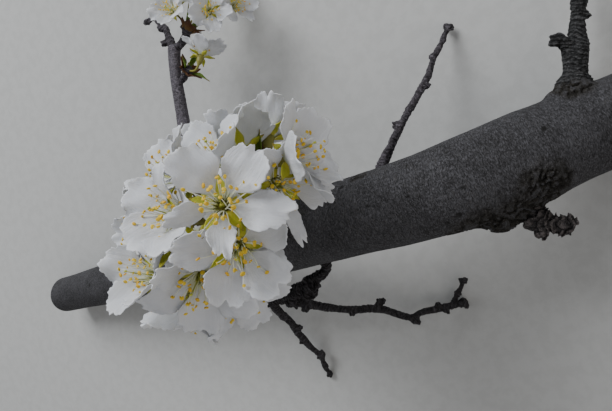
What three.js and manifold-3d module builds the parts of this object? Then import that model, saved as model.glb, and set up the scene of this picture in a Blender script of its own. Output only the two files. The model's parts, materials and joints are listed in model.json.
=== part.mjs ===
// Plum branch in blossom, cut at both ends and lying on a level surface.
//
// Millimetres, +Z up. +X runs along the limb to its thick end, and the branch lies arched, on both
// cut ends and on the tips of its lower twigs. The origin is the middle of its box, at floor level.
import * as THREE from 'three';
import { mergeVertices } from 'three/addons/utils/BufferGeometryUtils.js';
import Module from 'manifold-3d';

const wasm = await Module();
wasm.setup();

// Air between two pieces that meet, and between the petals of neighbouring blooms.
const GAP = 0.3;
const PETAL_GAP = 0.45;

// Slivers that a cut leaves are dropped where a surface moves by no more than this.
const SLIVER = 0.005;

// Middle of the branch's box, in the frame in which the places below are written.
const MIDDLE = new THREE.Vector3(-1.378, -6.155, 0.269);

// The petals of a full bloom. The cup is the rise of a petal's edge over each step aside, the flare
// is the angle in degrees that it bends outwards on its way. The air is left between petals, and at
// least the last of it where they are made larger.
const PETALS = 5;
const PETAL_LENGTH = 13.2;
const PETAL_WIDTH = 11.2;
const PETAL_THICKNESS = 0.5;
const PETAL_CUP = 0.16;
const PETAL_FLARE = 38;
const PETAL_AIR = 0.5;
const LEAST_AIR = 0.05;

// How petals differ: the most that a length is off by, as a share, and the spread of their lift in
// degrees, drawn apart from the lengths.
const PETAL_VARIATION = 0.09;
const PETAL_LIFT = 14;
const LIFT_DRAW = 40;

// The ring that the petals stand on, the floor under them, and the stalk below. The cup's outline
// goes from its foot to its mouth as [share of its length, radius].
const MOUTH_RADIUS = 2.2;
const CUP_FLOOR = 1.2;
const CUP_LENGTH = 5.6;
const CUP_OUTLINE = [[0, 0.8], [0.28, 2], [1, 2.4]];
const STALK_RADIUS = 0.65;
const STALK_SIDES = 5;

// A stalk bends this share of its reach behind the cup, and is drawn this far towards the point at
// this share of the straight line to the cup.
const STALK_BEND = 0.35;
const STALK_DRAW = 0.35;
const STALK_POINT = 0.6;

// The tuft of stamens, with its foot sunk by its root into the mouth of the cup.
const TUFT_LENGTH = 7.6;
const TUFT_ROOT = 0.9;
const TUFT_FOOT = 0.9;
const TUFT_TOP = 2.9;
const TUFT_SIDES = 5;

// The waves that make a girth uneven, as [waves in a turn, radians from one ring to the next].
const RIPPLES = [[3, 1.7], [2, -0.9]];

// A section's first side points up unless the piece itself climbs more steeply than this.
const STEEP = 0.8;

// A knob larger than this is rounded more finely.
const LARGE_KNOB = 4;

const BARK = { color: '#45403f', roughness: 0.9, metalness: 0 };
const TWIG_BARK = { color: '#2f2826', roughness: 0.85, metalness: 0 };
const BLOSSOM = { color: '#f3f4f1', roughness: 0.6, metalness: 0 };

// The wood, each piece after the one that it grows from. A route starts inside that one. A girth is
// [share of the route, diameter], and a knob is [x, y, z, radius].
const WOOD = {
  limb: {
    material: BARK,
    route: [
      [125.8, -26.1, 11.7], [112, -27.2, 17.8], [98.8, -28.9, 23.9], [86.7, -29.3, 29.6],
      [74.1, -29.6, 33.6], [51.1, -29.5, 35.5], [23.9, -28.9, 34], [-10.2, -27.6, 29],
      [-61.8, -26.3, 19.4], [-132.5, -24, 8.1],
    ],
    girth: [[0, 25], [0.06, 25.4], [0.11, 27.2], [0.17, 26.6], [0.22, 26], [0.4, 24], [1, 16.2]],
    sides: 14,
    rings: 24,
    ripple: 0.018,
    knobs: [
      [93, -38.4, 26.6, 7.2], [97.1, -34.5, 28.6, 5.8], [114.1, -17.5, 18.1, 6.4],
      [110.2, -18.5, 20.3, 5.6], [119.6, -20.4, 15.6, 6], [87.2, -39.3, 30.3, 7.2],
      [82.2, -36.6, 31.4, 7],
    ],
  },
  collar_stub: {
    material: TWIG_BARK,
    route: [
      [112.5, -25, 17.6], [115.2, -13.5, 16.4], [118.2, -4.6, 14.4], [121, 3.4, 12.6],
      [124, 11.4, 11.2], [127, 19, 10.2],
    ],
    girth: [
      [0, 10], [0.275, 10], [0.295, 9.4], [0.31, 7.2], [0.36, 7], [0.46, 7.4], [0.5, 7.2], [0.54, 5.6],
      [0.58, 4.9], [0.68, 4], [0.76, 5.2], [1, 4.6],
    ],
    sides: 8,
    rings: 18,
    ripple: 0.04,
    knobs: [[114.9, 0.3, 16.2, 2.1], [116.2, -1.9, 15.6, 2], [123.8, 4, 11.8, 1.2]],
  },
  collar_spur: {
    material: TWIG_BARK,
    route: [
      [94.6, -32, 25], [95, -39, 26.3], [95.2, -44.5, 28], [96.7, -46.7, 28.1], [99, -48.2, 27.5],
      [101.8, -49.5, 27], [104.4, -51.4, 26.6],
    ],
    girth: [[0, 6.2], [0.5, 6.6], [0.64, 7], [0.72, 5.6], [0.8, 5.6], [0.88, 6.4], [0.94, 5.6], [1, 4.8]],
    sides: 8,
    rings: 14,
    ripple: 0.07,
    knobs: [[96.8, -50.2, 28.8, 1.9], [97.5, -44, 27.7, 1.8]],
  },
  bare_twig: {
    material: TWIG_BARK,
    route: [
      [52.5, -29, 33], [57.6, -17.2, 29.8], [61.4, -11.8, 26.6], [65, -7.4, 23.8], [69.8, -1.8, 19.8],
      [76, 5.4, 14.2], [78.4, 10, 11.2], [81.3, 13.9, 8], [84.4, 19.6, 2.1],
    ],
    girth: [[0, 4], [0.3, 3.2], [0.6, 2.7], [1, 2.1]],
    sides: 5,
    rings: 10,
    ripple: 0.05,
    knobs: [
      [64, -6.2, 23.4, 1.4], [75, 2.4, 16.2, 1.3], [78.2, 11, 11, 1.1], [82.4, 15.2, 6.8, 1.3],
      [84.8, 19, 2.6, 1.3], [83.7, 19.8, 2.4, 1.2],
    ],
  },
  lower_spur: {
    material: TWIG_BARK,
    route: [
      [26.5, -29.5, 33], [25.2, -38, 27.6], [23.2, -43.9, 24], [14.4, -47.2, 21], [0, -51, 17.4],
      [-9, -51.6, 16],
    ],
    girth: [[0, 4.8], [0.35, 4], [0.5, 4.6], [0.6, 4.6], [0.72, 5.6], [0.88, 5.2], [1, 3.8]],
    sides: 7,
    rings: 12,
    ripple: 0.07,
    knobs: [
      [13.6, -48.4, 21.6, 3], [9.4, -51.6, 19, 3], [1.4, -53.4, 16.6, 2.9], [-9.2, -51.6, 16, 2.4],
      [20.6, -45.4, 24, 1.9],
    ],
  },
  lower_twig_right: {
    material: TWIG_BARK,
    route: [
      [1.4, -53.8, 16.4], [9.5, -57.8, 14.8], [15.3, -60.6, 13.4], [21.7, -62.7, 12.1],
      [27.8, -64, 10.9], [32.2, -66.1, 9.5], [36.1, -68.6, 8.4], [40.1, -71.3, 6.9], [44, -70.5, 5.8],
      [50.3, -70.8, 4.1], [58.2, -71.2, 1.9],
    ],
    girth: [[0, 3.8], [0.2, 3.4], [0.5, 3.1], [0.75, 2.8], [0.85, 2.9], [1, 2.6]],
    sides: 5,
    rings: 12,
    ripple: 0.06,
    knobs: [
      [30.9, -63.6, 10.4, 1.4], [32.1, -62.5, 10.1, 1.5], [21, -63.8, 12.6, 1.3], [5, -57, 16.4, 1.7],
      [41.2, -72.6, 6.6, 1.7], [50.2, -69.6, 4.8, 1.4], [52, -71.9, 3.8, 1.4], [55.6, -70, 3, 1.5],
      [58.4, -71, 2.1, 1.9],
    ],
  },
  lower_twig_tip: {
    material: TWIG_BARK,
    route: [[55.2, -70.6, 2.9], [57.6, -67.4, 3.3], [60, -65.4, 3.8], [61.4, -63.2, 4.2]],
    girth: [[0, 2.4], [1, 1.9]],
    sides: 6,
    rings: 4,
    ripple: 0.06,
    knobs: [[58, -67.4, 3.4, 1.3], [61.5, -63.2, 4.2, 1.4]],
  },
  lower_twig_down: {
    material: TWIG_BARK,
    route: [
      [-9.2, -51.6, 16], [-9.1, -55.4, 15], [-7.1, -60.4, 12.8], [-6.5, -65, 11.1], [-6.1, -69.6, 9.1],
      [-4.9, -74.8, 6.9], [-3.3, -79, 5.2], [-4.2, -84.4, 3.4], [-4, -88, 1.7],
    ],
    girth: [[0, 3.9], [0.5, 3.1], [1, 2]],
    sides: 5,
    rings: 10,
    ripple: 0.06,
    knobs: [
      [-7.6, -58.8, 13.8, 1.9], [-5.7, -65.4, 10.8, 1.7], [-6.7, -71, 8.6, 1.5],
      [-2.6, -78.8, 5.4, 1.7], [-3.6, -83.6, 3.7, 1.3], [-4, -87.8, 1.9, 1.5],
    ],
  },
  upright_shoot: {
    material: BARK,
    route: [
      [-17.2, -27.6, 30], [-15, -4, 29], [-12.6, 20, 27.9], [-10.8, 36, 26.2], [-9.5, 44.9, 24.9],
      [-8.5, 50.1, 23.8],
    ],
    girth: [[0, 6.6], [0.3, 5.4], [0.9, 4.6], [1, 4.8]],
    sides: 8,
    rings: 9,
    ripple: 0.02,
    knobs: [[-8.4, 50, 23.8, 2.5]],
  },
  shoot_fork_left: {
    material: TWIG_BARK,
    route: [
      [-8.5, 50.1, 23.8], [-9.4, 55.3, 23.1], [-10.1, 58.8, 22.4], [-12.6, 63.4, 22.1],
      [-13.8, 66.2, 21.6],
    ],
    girth: [[0, 3.6], [0.5, 3.1], [0.8, 2.8], [1, 2.2]],
    sides: 6,
    rings: 6,
    ripple: 0.06,
    knobs: [
      [-11.2, 53.8, 24.4, 1.5], [-11.6, 60, 23, 1.5], [-13.8, 65.4, 22, 1.4], [-15.3, 65.5, 22.5, 1.3],
      [-16.8, 65.1, 23.2, 1.4],
    ],
  },
  shoot_fork_right: {
    material: TWIG_BARK,
    route: [[-8.5, 50.1, 23.8], [-6.1, 50.4, 24], [-2.9, 51.3, 24], [0.6, 53.8, 24]],
    girth: [[0, 3.6], [0.6, 3.3], [1, 3.4]],
    sides: 6,
    rings: 5,
    ripple: 0.05,
    knobs: [[0.7, 54.2, 24, 2.4]],
  },
  shoot_side_spur: {
    material: TWIG_BARK,
    route: [[-9.8, 37.6, 25.4], [-7.4, 38.4, 25.4], [-4.8, 40, 25.2]],
    girth: [[0, 2.8], [1, 3]],
    sides: 6,
    rings: 3,
    ripple: 0.05,
    knobs: [[-4.6, 40.2, 25.2, 2.3]],
  },
  flower_spur: {
    material: TWIG_BARK,
    route: [[26.6, -28.6, 35], [27.6, -26.4, 45], [29.4, -23.4, 53], [30, -20.6, 60]],
    girth: [[0, 6], [0.5, 5], [0.62, 5.6], [0.74, 4.6], [0.86, 5.2], [1, 4.6]],
    sides: 8,
    rings: 9,
    ripple: 0.05,
    knobs: [[30, -20.6, 60.4, 3]],
  },
  flower_spur_upper: {
    material: TWIG_BARK,
    route: [[30, -20.6, 60.4], [34.6, -14.8, 64.6], [38.6, -9.6, 68.8], [41.6, -6.2, 71.6]],
    girth: [[0, 3.6], [0.6, 3], [1, 3.4]],
    sides: 6,
    rings: 7,
    ripple: 0.05,
    knobs: [[42, -5.6, 72, 3]],
  },
  flower_spur_middle: {
    material: TWIG_BARK,
    route: [[30, -20.6, 60.4], [31.6, -19.2, 70], [31.8, -16.6, 78.6], [31.7, -14.8, 85.4]],
    girth: [[0, 3.8], [0.6, 3.1], [1, 3.4]],
    sides: 6,
    rings: 8,
    ripple: 0.05,
    knobs: [[31.7, -14.6, 86, 3]],
  },
  flower_spur_lower: {
    material: TWIG_BARK,
    route: [[30, -20.6, 60.4], [26.4, -23.8, 67.6], [22, -25.8, 73.6], [19.2, -26.8, 77.8]],
    girth: [[0, 3.8], [0.6, 3.1], [1, 3.4]],
    sides: 6,
    rings: 8,
    ripple: 0.05,
    knobs: [[18.9, -26.8, 78.4, 3.2]],
  },
};

// The blooms: the spur tip that carries each, the middle of its cup, the way it faces as azimuth and
// elevation in degrees, the turn of its first petal, how far its petals open from its axis, and its
// size beside a full bloom.
const UPPER = [42, -5.6, 72];
const MIDDLE_TIP = [31.7, -14.6, 86];
const LOWER = [18.9, -26.8, 78.4];
const TOP = [0.7, 54.2, 24];
const SIDE = [-4.6, 40.2, 25.2];
const BLOOMS = {
  bloom_upper_1: { tip: UPPER, seat: [58.8, -9, 85.4], facing: [-2, -1], spin: 41, open: 58, scale: 1 },
  bloom_upper_2: { tip: UPPER, seat: [45.3, -0.7, 68.9], facing: [88, -37], spin: 11, open: 46, scale: 0.82 },
  bloom_upper_3: { tip: UPPER, seat: [42.1, -2.8, 77.6], facing: [115, -22], spin: 15, open: 60, scale: 0.95 },
  bloom_upper_4: { tip: UPPER, seat: [52.8, -13.9, 84.2], facing: [-31, 34], spin: 47, open: 66, scale: 1 },
  bloom_upper_5: { tip: UPPER, seat: [31, -0.6, 71.4], facing: [106, 16], spin: 65, open: 55, scale: 0.95 },
  bloom_upper_6: { tip: MIDDLE_TIP, seat: [43.6, -5.7, 89.5], facing: [90, 41], spin: 60, open: 54, scale: 0.95 },
  bloom_front_1: { tip: MIDDLE_TIP, seat: [49.8, -15, 103.2], facing: [14, 54], spin: 41, open: 64, scale: 1 },
  bloom_front_2: { tip: MIDDLE_TIP, seat: [32.6, -13.5, 98.1], facing: [95, 62], spin: 0, open: 64, scale: 1 },
  bloom_front_3: { tip: MIDDLE_TIP, seat: [25.9, -3.7, 84.7], facing: [97, 37], spin: 52, open: 58, scale: 1 },
  bloom_front_4: { tip: MIDDLE_TIP, seat: [46.9, -24.5, 99.1], facing: [-19, 55], spin: 14, open: 66, scale: 1 },
  bloom_lower_1: { tip: LOWER, seat: [19.7, -25, 98.7], facing: [100, 63], spin: 10, open: 60, scale: 0.95 },
  bloom_lower_2: { tip: LOWER, seat: [31.7, -28.7, 96.3], facing: [-70, 54], spin: 28, open: 62, scale: 1.05 },
  bloom_lower_3: { tip: LOWER, seat: [28.6, -35.8, 82], facing: [-62, 17], spin: 54, open: 55, scale: 0.95 },
  bloom_lower_4: { tip: LOWER, seat: [29.9, -26.9, 72], facing: [-19, -16], spin: 43, open: 48, scale: 0.88 },
  bloom_lower_5: { tip: LOWER, seat: [10.8, -15.1, 85.4], facing: [141, 52], spin: 20, open: 58, scale: 0.95 },
  bloom_lower_6: { tip: LOWER, seat: [13.6, -34.8, 83.7], facing: [-112, 28], spin: 11, open: 55, scale: 1 },
  bloom_back_1: { tip: MIDDLE_TIP, seat: [17.6, -1.4, 67.6], facing: [125, -16], spin: 47, open: 60, scale: 0.95 },
  bloom_back_2: { tip: UPPER, seat: [26, -6, 54], facing: [70, -60], spin: 42, open: 58, scale: 0.95 },
  bloom_back_3: { tip: LOWER, seat: [5.4, -19.8, 62], facing: [172, -36], spin: 18, open: 60, scale: 0.95 },
  bloom_top_1: { tip: SIDE, seat: [3.7, 42.4, 26], facing: [70, -29], spin: 57, open: 60, scale: 0.65 },
  bloom_top_2: { tip: TOP, seat: [-0.9, 61.5, 27.4], facing: [51, 70], spin: 30, open: 62, scale: 0.6 },
  bloom_top_3: { tip: TOP, seat: [13.6, 54.9, 26], facing: [-14, 53], spin: 43, open: 62, scale: 0.6 },
  bloom_top_4: { tip: TOP, seat: [18.2, 55.7, 17], facing: [-7, 17], spin: 70, open: 60, scale: 0.6 },
  bloom_top_5: { tip: TOP, seat: [4.4, 66.1, 20.9], facing: [43, 58], spin: 52, open: 60, scale: 0.65 },
  bloom_top_6: { tip: TOP, seat: [10.1, 67.4, 13.4], facing: [44, 9], spin: 62, open: 60, scale: 0.6 },
};

const place = ([x, y, z]) => new THREE.Vector3(x, y, z).sub(MIDDLE);
const radians = THREE.MathUtils.degToRad;

/** A number from 0 to 1 that is always the same for the same two counts. */
function chance(first, second) {
  const wave = Math.sin(first * 12.9898 + second * 78.233) * 43758.5453;
  return wave - Math.floor(wave);
}

/** A closed geometry as a solid that can be joined and cut. */
function solidOf(geometry) {
  const bare = geometry.clone();
  bare.deleteAttribute('normal');
  bare.deleteAttribute('uv');
  const merged = mergeVertices(bare, 1e-4);
  return new wasm.Manifold(new wasm.Mesh({
    numProp: 3,
    vertProperties: new Float32Array(merged.attributes.position.array),
    triVerts: new Uint32Array(merged.index.array),
  }));
}

/** A solid as a geometry for a mesh. */
function geometryOf(solid) {
  const { vertProperties, triVerts } = solid.getMesh();
  const geometry = new THREE.BufferGeometry();
  geometry.setAttribute('position', new THREE.BufferAttribute(vertProperties, 3));
  geometry.setIndex(new THREE.BufferAttribute(triVerts, 1));
  geometry.computeVertexNormals();
  return geometry;
}

/** Moves each vertex of a geometry to where the rule puts it. */
function reshaped(geometry, rule) {
  const position = geometry.attributes.position;
  const vertex = new THREE.Vector3();
  for (let i = 0; i < position.count; i += 1) {
    vertex.fromBufferAttribute(position, i);
    rule(vertex);
    position.setXYZ(i, vertex.x, vertex.y, vertex.z);
  }
  return geometry;
}

/** The value at a share of the way, read between the two nearest [share, value] pairs. */
function readBetween(pairs, share) {
  const next = pairs.findIndex(([at]) => at >= share);
  if (next <= 0) return pairs[Math.max(next, 0)][1];
  const [before, low] = pairs[next - 1];
  const [after, high] = pairs[next];
  return THREE.MathUtils.mapLinear(share, before, after, low, high);
}

/** Cross-section frames along a curve, each turned as little as possible from the last. */
function framesAlong(curve, shares) {
  const start = curve.getTangentAt(0);
  let side = Math.abs(start.z) > STEEP ? new THREE.Vector3(1, 0, 0) : new THREE.Vector3(0, 0, 1);
  return shares.map((share) => {
    const tangent = curve.getTangentAt(share);
    side = side.clone().projectOnPlane(tangent).normalize();
    return { centre: curve.getPointAt(share), tangent, side, over: tangent.clone().cross(side) };
  });
}

/**
 * A cylinder bent along a curve, with the radius at each [ring, angle] given by a rule, and both of
 * its ends moved outwards by the reach.
 */
function bentCylinder(curve, shares, sides, radiusAt, reach) {
  const frames = framesAlong(curve, shares);
  const last = shares.length - 1;
  const cylinder = new THREE.CylinderGeometry(1, 1, 1, sides, last, false);
  return reshaped(cylinder, (vertex) => {
    const ring = Math.round((vertex.y + 0.5) * last);
    const { centre, side, over, tangent } = frames[ring];
    const radius = radiusAt(ring, Math.atan2(vertex.z, vertex.x));
    const past = (ring === last ? reach : 0) - (ring === 0 ? reach : 0);
    const { x, z } = vertex;
    vertex.copy(centre).addScaledVector(tangent, past);
    vertex.addScaledVector(side, x * radius).addScaledVector(over, -z * radius);
  });
}

/** A tapering piece of wood with its knobs, made larger all round by the given margin. */
function woodSolid({ route, girth, sides, rings, ripple, knobs }, margin = 0) {
  const curve = new THREE.CatmullRomCurve3(route.map(place), false, 'centripetal');
  const shares = Array.from({ length: rings + 1 }, (_, ring) => ring / rings);
  const radiusAt = (ring, angle) => {
    const radius = readBetween(girth, shares[ring]) / 2;
    const wave = RIPPLES.reduce((sum, [waves, step]) => sum + Math.sin(waves * angle + step * ring), 0);
    return radius * (1 + ripple * wave) + margin;
  };
  let solid = solidOf(bentCylinder(curve, shares, sides, radiusAt, margin));
  knobs.forEach(([x, y, z, radius]) => {
    const detail = radius > LARGE_KNOB ? 1 : 0;
    const knob = new THREE.IcosahedronGeometry(radius + margin, detail);
    const centre = place([x, y, z]);
    knob.translate(centre.x, centre.y, centre.z);
    solid = solid.add(solidOf(knob));
  });
  return solid;
}

/** The unit vector of an azimuth and elevation in degrees. */
function direction([azimuth, elevation]) {
  const polar = radians(90 - elevation);
  const turn = radians(azimuth);
  return new THREE.Vector3(Math.sin(polar) * Math.cos(turn), Math.sin(polar) * Math.sin(turn), Math.cos(polar));
}

/** The bloom's stalk and cup: one tube from inside the spur tip to the mouth of the cup. */
function stalkSolid({ tip, seat, facing, scale }, margin = 0) {
  const way = direction(facing);
  const mouth = place(seat);
  const neck = mouth.clone().addScaledVector(way, -CUP_LENGTH * scale);
  const start = place(tip);
  const reach = neck.distanceTo(start);
  const straight = start.clone().lerp(neck, STALK_POINT);
  const bend = neck.clone().addScaledVector(way, -reach * STALK_BEND).lerp(straight, STALK_DRAW);
  const curve = new THREE.CatmullRomCurve3([start, bend, neck, mouth], false, 'centripetal');
  const cup = (CUP_LENGTH * scale) / curve.getLength();
  const outline = CUP_OUTLINE.map(([share, radius]) => [1 - cup * (1 - share), radius]);
  const rings = [[0, STALK_RADIUS], [(1 - cup) / 2, STALK_RADIUS], ...outline];
  const shares = rings.map(([share]) => share);
  const radiusAt = (ring) => rings[ring][1] * scale + margin;
  return solidOf(bentCylinder(curve, shares, STALK_SIDES, radiusAt, margin));
}

/** Axes of a blade that leaves the bloom's axis at the given angle: across, along and up. */
function bladeAxes(turn, angle) {
  const across = new THREE.Vector3(Math.sin(turn), -Math.cos(turn), 0);
  const out = new THREE.Vector3(Math.cos(turn), Math.sin(turn), 0);
  const along = out.clone().multiplyScalar(Math.sin(angle)).add(new THREE.Vector3(0, 0, Math.cos(angle)));
  const up = across.clone().cross(along);
  return { across, out, along, up };
}

// A petal's outline, from one widest place over the tip to the other, and the notch after it, as
// shares of the petal's length and half width. A bloom's clearance fills the notch this far.
const PETAL_OUTLINE = [
  { along: 0.56, aside: 1 },
  { along: 0.98, aside: 0.42 },
  { along: 0.98, aside: -0.42 },
  { along: 0.56, aside: -1 },
  { along: 0.2, aside: 0, between: true, filled: 0.7 },
];

// The place of a petal's middle line among those points.
const PETAL_MIDDLE = 1.5;

// The shell's rings: from the middle of the mouth over the petals' feet to their outline, and back
// down outside. Counted from either pole, the outline is the same ring.
const SHELL_RINGS = 5;
const OUTLINE_RING = 2;

/**
 * The five petals as one lobed shell, open between the petals nearly down to the mouth of the cup.
 * It is a ball whose rings run from the middle of the mouth up the inside of the petals, over their
 * outline and down the outside, with one column to each point of the outline.
 */
function corollaGeometry(order, spin, open, margin) {
  const columns = PETAL_OUTLINE.length * PETALS;
  const pitch = 360 / columns;
  const flare = radians(PETAL_FLARE);
  const ball = new THREE.SphereGeometry(1, columns, SHELL_RINGS);
  const uv = ball.attributes.uv;
  let index = -1;
  return reshaped(ball, (vertex) => {
    index += 1;
    const ring = Math.round((1 - uv.getY(index)) * SHELL_RINGS);
    const column = Math.round(uv.getX(index) * columns) % columns;
    const inside = ring < SHELL_RINGS / 2;
    const level = inside ? ring : SHELL_RINGS - ring;
    if (level === 0) {
      vertex.set(0, 0, inside ? margin : -CUP_FLOOR - margin);
      return;
    }
    const petal = Math.floor(column / PETAL_OUTLINE.length);
    const { along, aside, between = false, filled } = PETAL_OUTLINE[column % PETAL_OUTLINE.length];
    const edge = level === OUTLINE_RING;
    const length = PETAL_LENGTH * (1 + PETAL_VARIATION * (chance(order, petal) * 2 - 1));
    const reach = between && margin ? filled : along + margin / length;
    const run = edge ? reach : 0;
    const first = radians(open - PETAL_FLARE / 2 + PETAL_LIFT * (chance(order, petal + LIFT_DRAW) - 0.5));
    const angle = first + flare * run;
    const middle = PETAL_OUTLINE.length * (petal + (between ? 0.5 : 0)) + PETAL_MIDDLE;
    const turn = radians(spin + pitch * ((edge ? middle : column) - PETAL_MIDDLE));
    const { across, out, up } = bladeAxes(turn, angle);
    const outward = (length * (Math.cos(first) - Math.cos(angle))) / flare;
    const air = Math.max(PETAL_AIR - margin, LEAST_AIR);
    const room = (MOUTH_RADIUS + outward) * Math.tan(Math.PI / PETALS) - air;
    const half = Math.min((Math.abs(aside) * PETAL_WIDTH) / 2 + margin, room);
    const side = edge ? Math.sign(aside) * half : 0;
    const rise = PETAL_CUP * Math.abs(side) + (inside ? 1 : -1) * (PETAL_THICKNESS / 2 + margin);
    vertex.copy(out).multiplyScalar(MOUTH_RADIUS + outward);
    vertex.z = (length * (Math.sin(angle) - Math.sin(first))) / flare;
    vertex.addScaledVector(across, side).addScaledVector(up, rise);
  });
}

/** The tuft of stamens as one flaring solid that stands in the mouth of the cup. */
function tuftGeometry(spin, margin) {
  const length = TUFT_LENGTH + margin;
  const tuft = new THREE.CylinderGeometry(TUFT_TOP + margin, TUFT_FOOT + margin, length, TUFT_SIDES, 1);
  tuft.translate(0, length / 2 - TUFT_ROOT, 0);
  tuft.rotateX(Math.PI / 2);
  tuft.rotateZ(radians(spin));
  return tuft;
}

/** The bloom's petals and tuft of stamens, set on its cup. */
function flowerSolid({ seat, facing, spin, open, scale }, order, margin = 0) {
  const within = margin / scale;
  const shapes = [corollaGeometry(order, spin, open, within), tuftGeometry(spin, within)];
  const way = new THREE.Quaternion().setFromUnitVectors(new THREE.Vector3(0, 0, 1), direction(facing));
  const set = new THREE.Matrix4().compose(place(seat), way, new THREE.Vector3(scale, scale, scale));
  return wasm.Manifold.union(shapes.map((shape) => solidOf(shape.applyMatrix4(set))));
}

/** Whether the boxes of two solids meet. */
function boxesMeet(first, second) {
  const a = first.boundingBox();
  const b = second.boundingBox();
  return [0, 1, 2].every((axis) => a.min[axis] <= b.max[axis] && b.min[axis] <= a.max[axis]);
}

/** The solid less every other one whose box meets its own. */
function cutBy(solid, others) {
  return wasm.Manifold.difference([solid, ...others.filter((other) => boxesMeet(solid, other))]);
}

/** The largest of the pieces that a solid falls into, with no sliver and no closed hollow. */
function mainPiece(solid) {
  const pieces = solid.asOriginal().simplify(SLIVER).decompose();
  return pieces.reduce((best, piece) => (piece.volume() > best.volume() ? piece : best));
}

/** A named mesh of a solid. */
function meshOf(name, solid, look) {
  const mesh = new THREE.Mesh(geometryOf(solid), new THREE.MeshStandardMaterial(look));
  mesh.name = name;
  return mesh;
}

const branch = new THREE.Group();

const woodClearance = [];
Object.entries(WOOD).forEach(([name, piece]) => {
  const solid = mainPiece(cutBy(woodSolid(piece), woodClearance));
  woodClearance.push(woodSolid(piece, GAP));
  branch.add(meshOf(name, solid, piece.material));
});

const bloomNames = Object.keys(BLOOMS);
const stalkClearance = bloomNames.map((name) => stalkSolid(BLOOMS[name], GAP));
const flowerClearance = [];
bloomNames.forEach((name, order) => {
  const bloom = BLOOMS[name];
  const stalk = cutBy(stalkSolid(bloom), [...woodClearance, ...stalkClearance.slice(0, order)]);
  const otherStalks = stalkClearance.filter((_, other) => other !== order);
  const flower = cutBy(flowerSolid(bloom, order), [...woodClearance, ...otherStalks, ...flowerClearance]);
  const solid = mainPiece(mainPiece(stalk).add(flower));
  flowerClearance.push(flowerSolid(bloom, order, PETAL_GAP));
  branch.add(meshOf(name, solid, BLOSSOM));
});

export default branch;
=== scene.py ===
"""Plum branch in blossom, lying on a pale studio floor.

A bare limb, cut at both ends, lies arched with its spurs, thin twigs, upright shoot and white
blooms. Shapes are worked out in millimetres and made metres when a piece is finished.
"""

from __future__ import annotations

import json
import logging
import math
import random
from dataclasses import dataclass, field, replace
from enum import Enum, IntEnum
from typing import Callable, Iterable, Sequence

import bmesh
import bpy
import numpy as np
from mathutils import Matrix, Quaternion, Vector, noise
from mathutils.bvhtree import BVHTree
from mathutils.kdtree import KDTree

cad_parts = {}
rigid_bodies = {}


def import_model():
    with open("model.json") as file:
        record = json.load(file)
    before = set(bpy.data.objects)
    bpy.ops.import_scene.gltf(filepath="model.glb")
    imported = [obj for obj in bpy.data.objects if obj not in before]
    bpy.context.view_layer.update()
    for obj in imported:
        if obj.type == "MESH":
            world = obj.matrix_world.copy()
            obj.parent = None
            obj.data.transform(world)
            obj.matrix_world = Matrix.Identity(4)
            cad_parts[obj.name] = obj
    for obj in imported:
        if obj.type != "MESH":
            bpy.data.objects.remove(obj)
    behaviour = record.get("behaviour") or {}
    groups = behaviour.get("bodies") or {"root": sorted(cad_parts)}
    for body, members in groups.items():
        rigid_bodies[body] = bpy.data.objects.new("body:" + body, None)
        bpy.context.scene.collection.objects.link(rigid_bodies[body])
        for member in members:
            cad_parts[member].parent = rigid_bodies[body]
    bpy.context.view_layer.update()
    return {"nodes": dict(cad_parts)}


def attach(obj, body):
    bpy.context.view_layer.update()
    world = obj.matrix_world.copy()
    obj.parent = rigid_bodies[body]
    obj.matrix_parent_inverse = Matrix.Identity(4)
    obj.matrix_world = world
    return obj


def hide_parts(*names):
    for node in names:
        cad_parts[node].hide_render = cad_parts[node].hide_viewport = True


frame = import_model()

LOG = logging.getLogger("plum_branch")
MM = 0.001
BODY = "root"

# The middle of the branch's box, in the frame in which the places below are written.
MIDDLE = Vector((-1.378, -6.155, 0.269))

# How far apart the bark patterns of one piece of wood and the next lie.
SEED_STEP = 3.7

Triple = tuple[float, float, float]
Colour = tuple[float, float, float, float]
Mover = Callable[[Vector], Vector]


def place(point: Triple) -> Vector:
    """A written place in the part's own frame, in millimetres."""
    return Vector(point) - MIDDLE


def mix(low: float, high: float, share: float) -> float:
    """The value at a share of the way from low to high."""
    return low + (high - low) * share


def smooth(low: float, high: float, value: float) -> float:
    """A soft step from 0 at low to 1 at high."""
    share = min(max((value - low) / (high - low), 0.0), 1.0)
    return share * share * (3 - 2 * share)


def chance(first: int, second: int) -> float:
    """A number from 0 to 1 that is always the same for the same two counts."""
    wave = math.sin(first * 12.9898 + second * 78.233) * 43758.5453
    return wave - math.floor(wave)


class Slot(Enum):
    """The material slots of the record."""

    BARK = "bark"
    TWIG_BARK = "twig_bark"
    BLOSSOM = "blossom"


class Bark(Enum):
    """The kinds of bark, each with a finish of its own."""

    LIMB = "limb_bark"
    SHOOT = "shoot_bark"
    TWIG = "twig_bark"
    YOUNG = "young_bark"
    STUB = "stub_bark"
    COMB = "comb_bark"


class Seed(IntEnum):
    """Where the random draws of each kind start, so that no two kinds share theirs."""

    SEPALS = 100
    STAMENS = 500
    SPUR_TIPS = 700
    SEPAL_WAVES = 900
    SCALE_WAVES = 1500
    LEAF_WAVES = 1700


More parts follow.
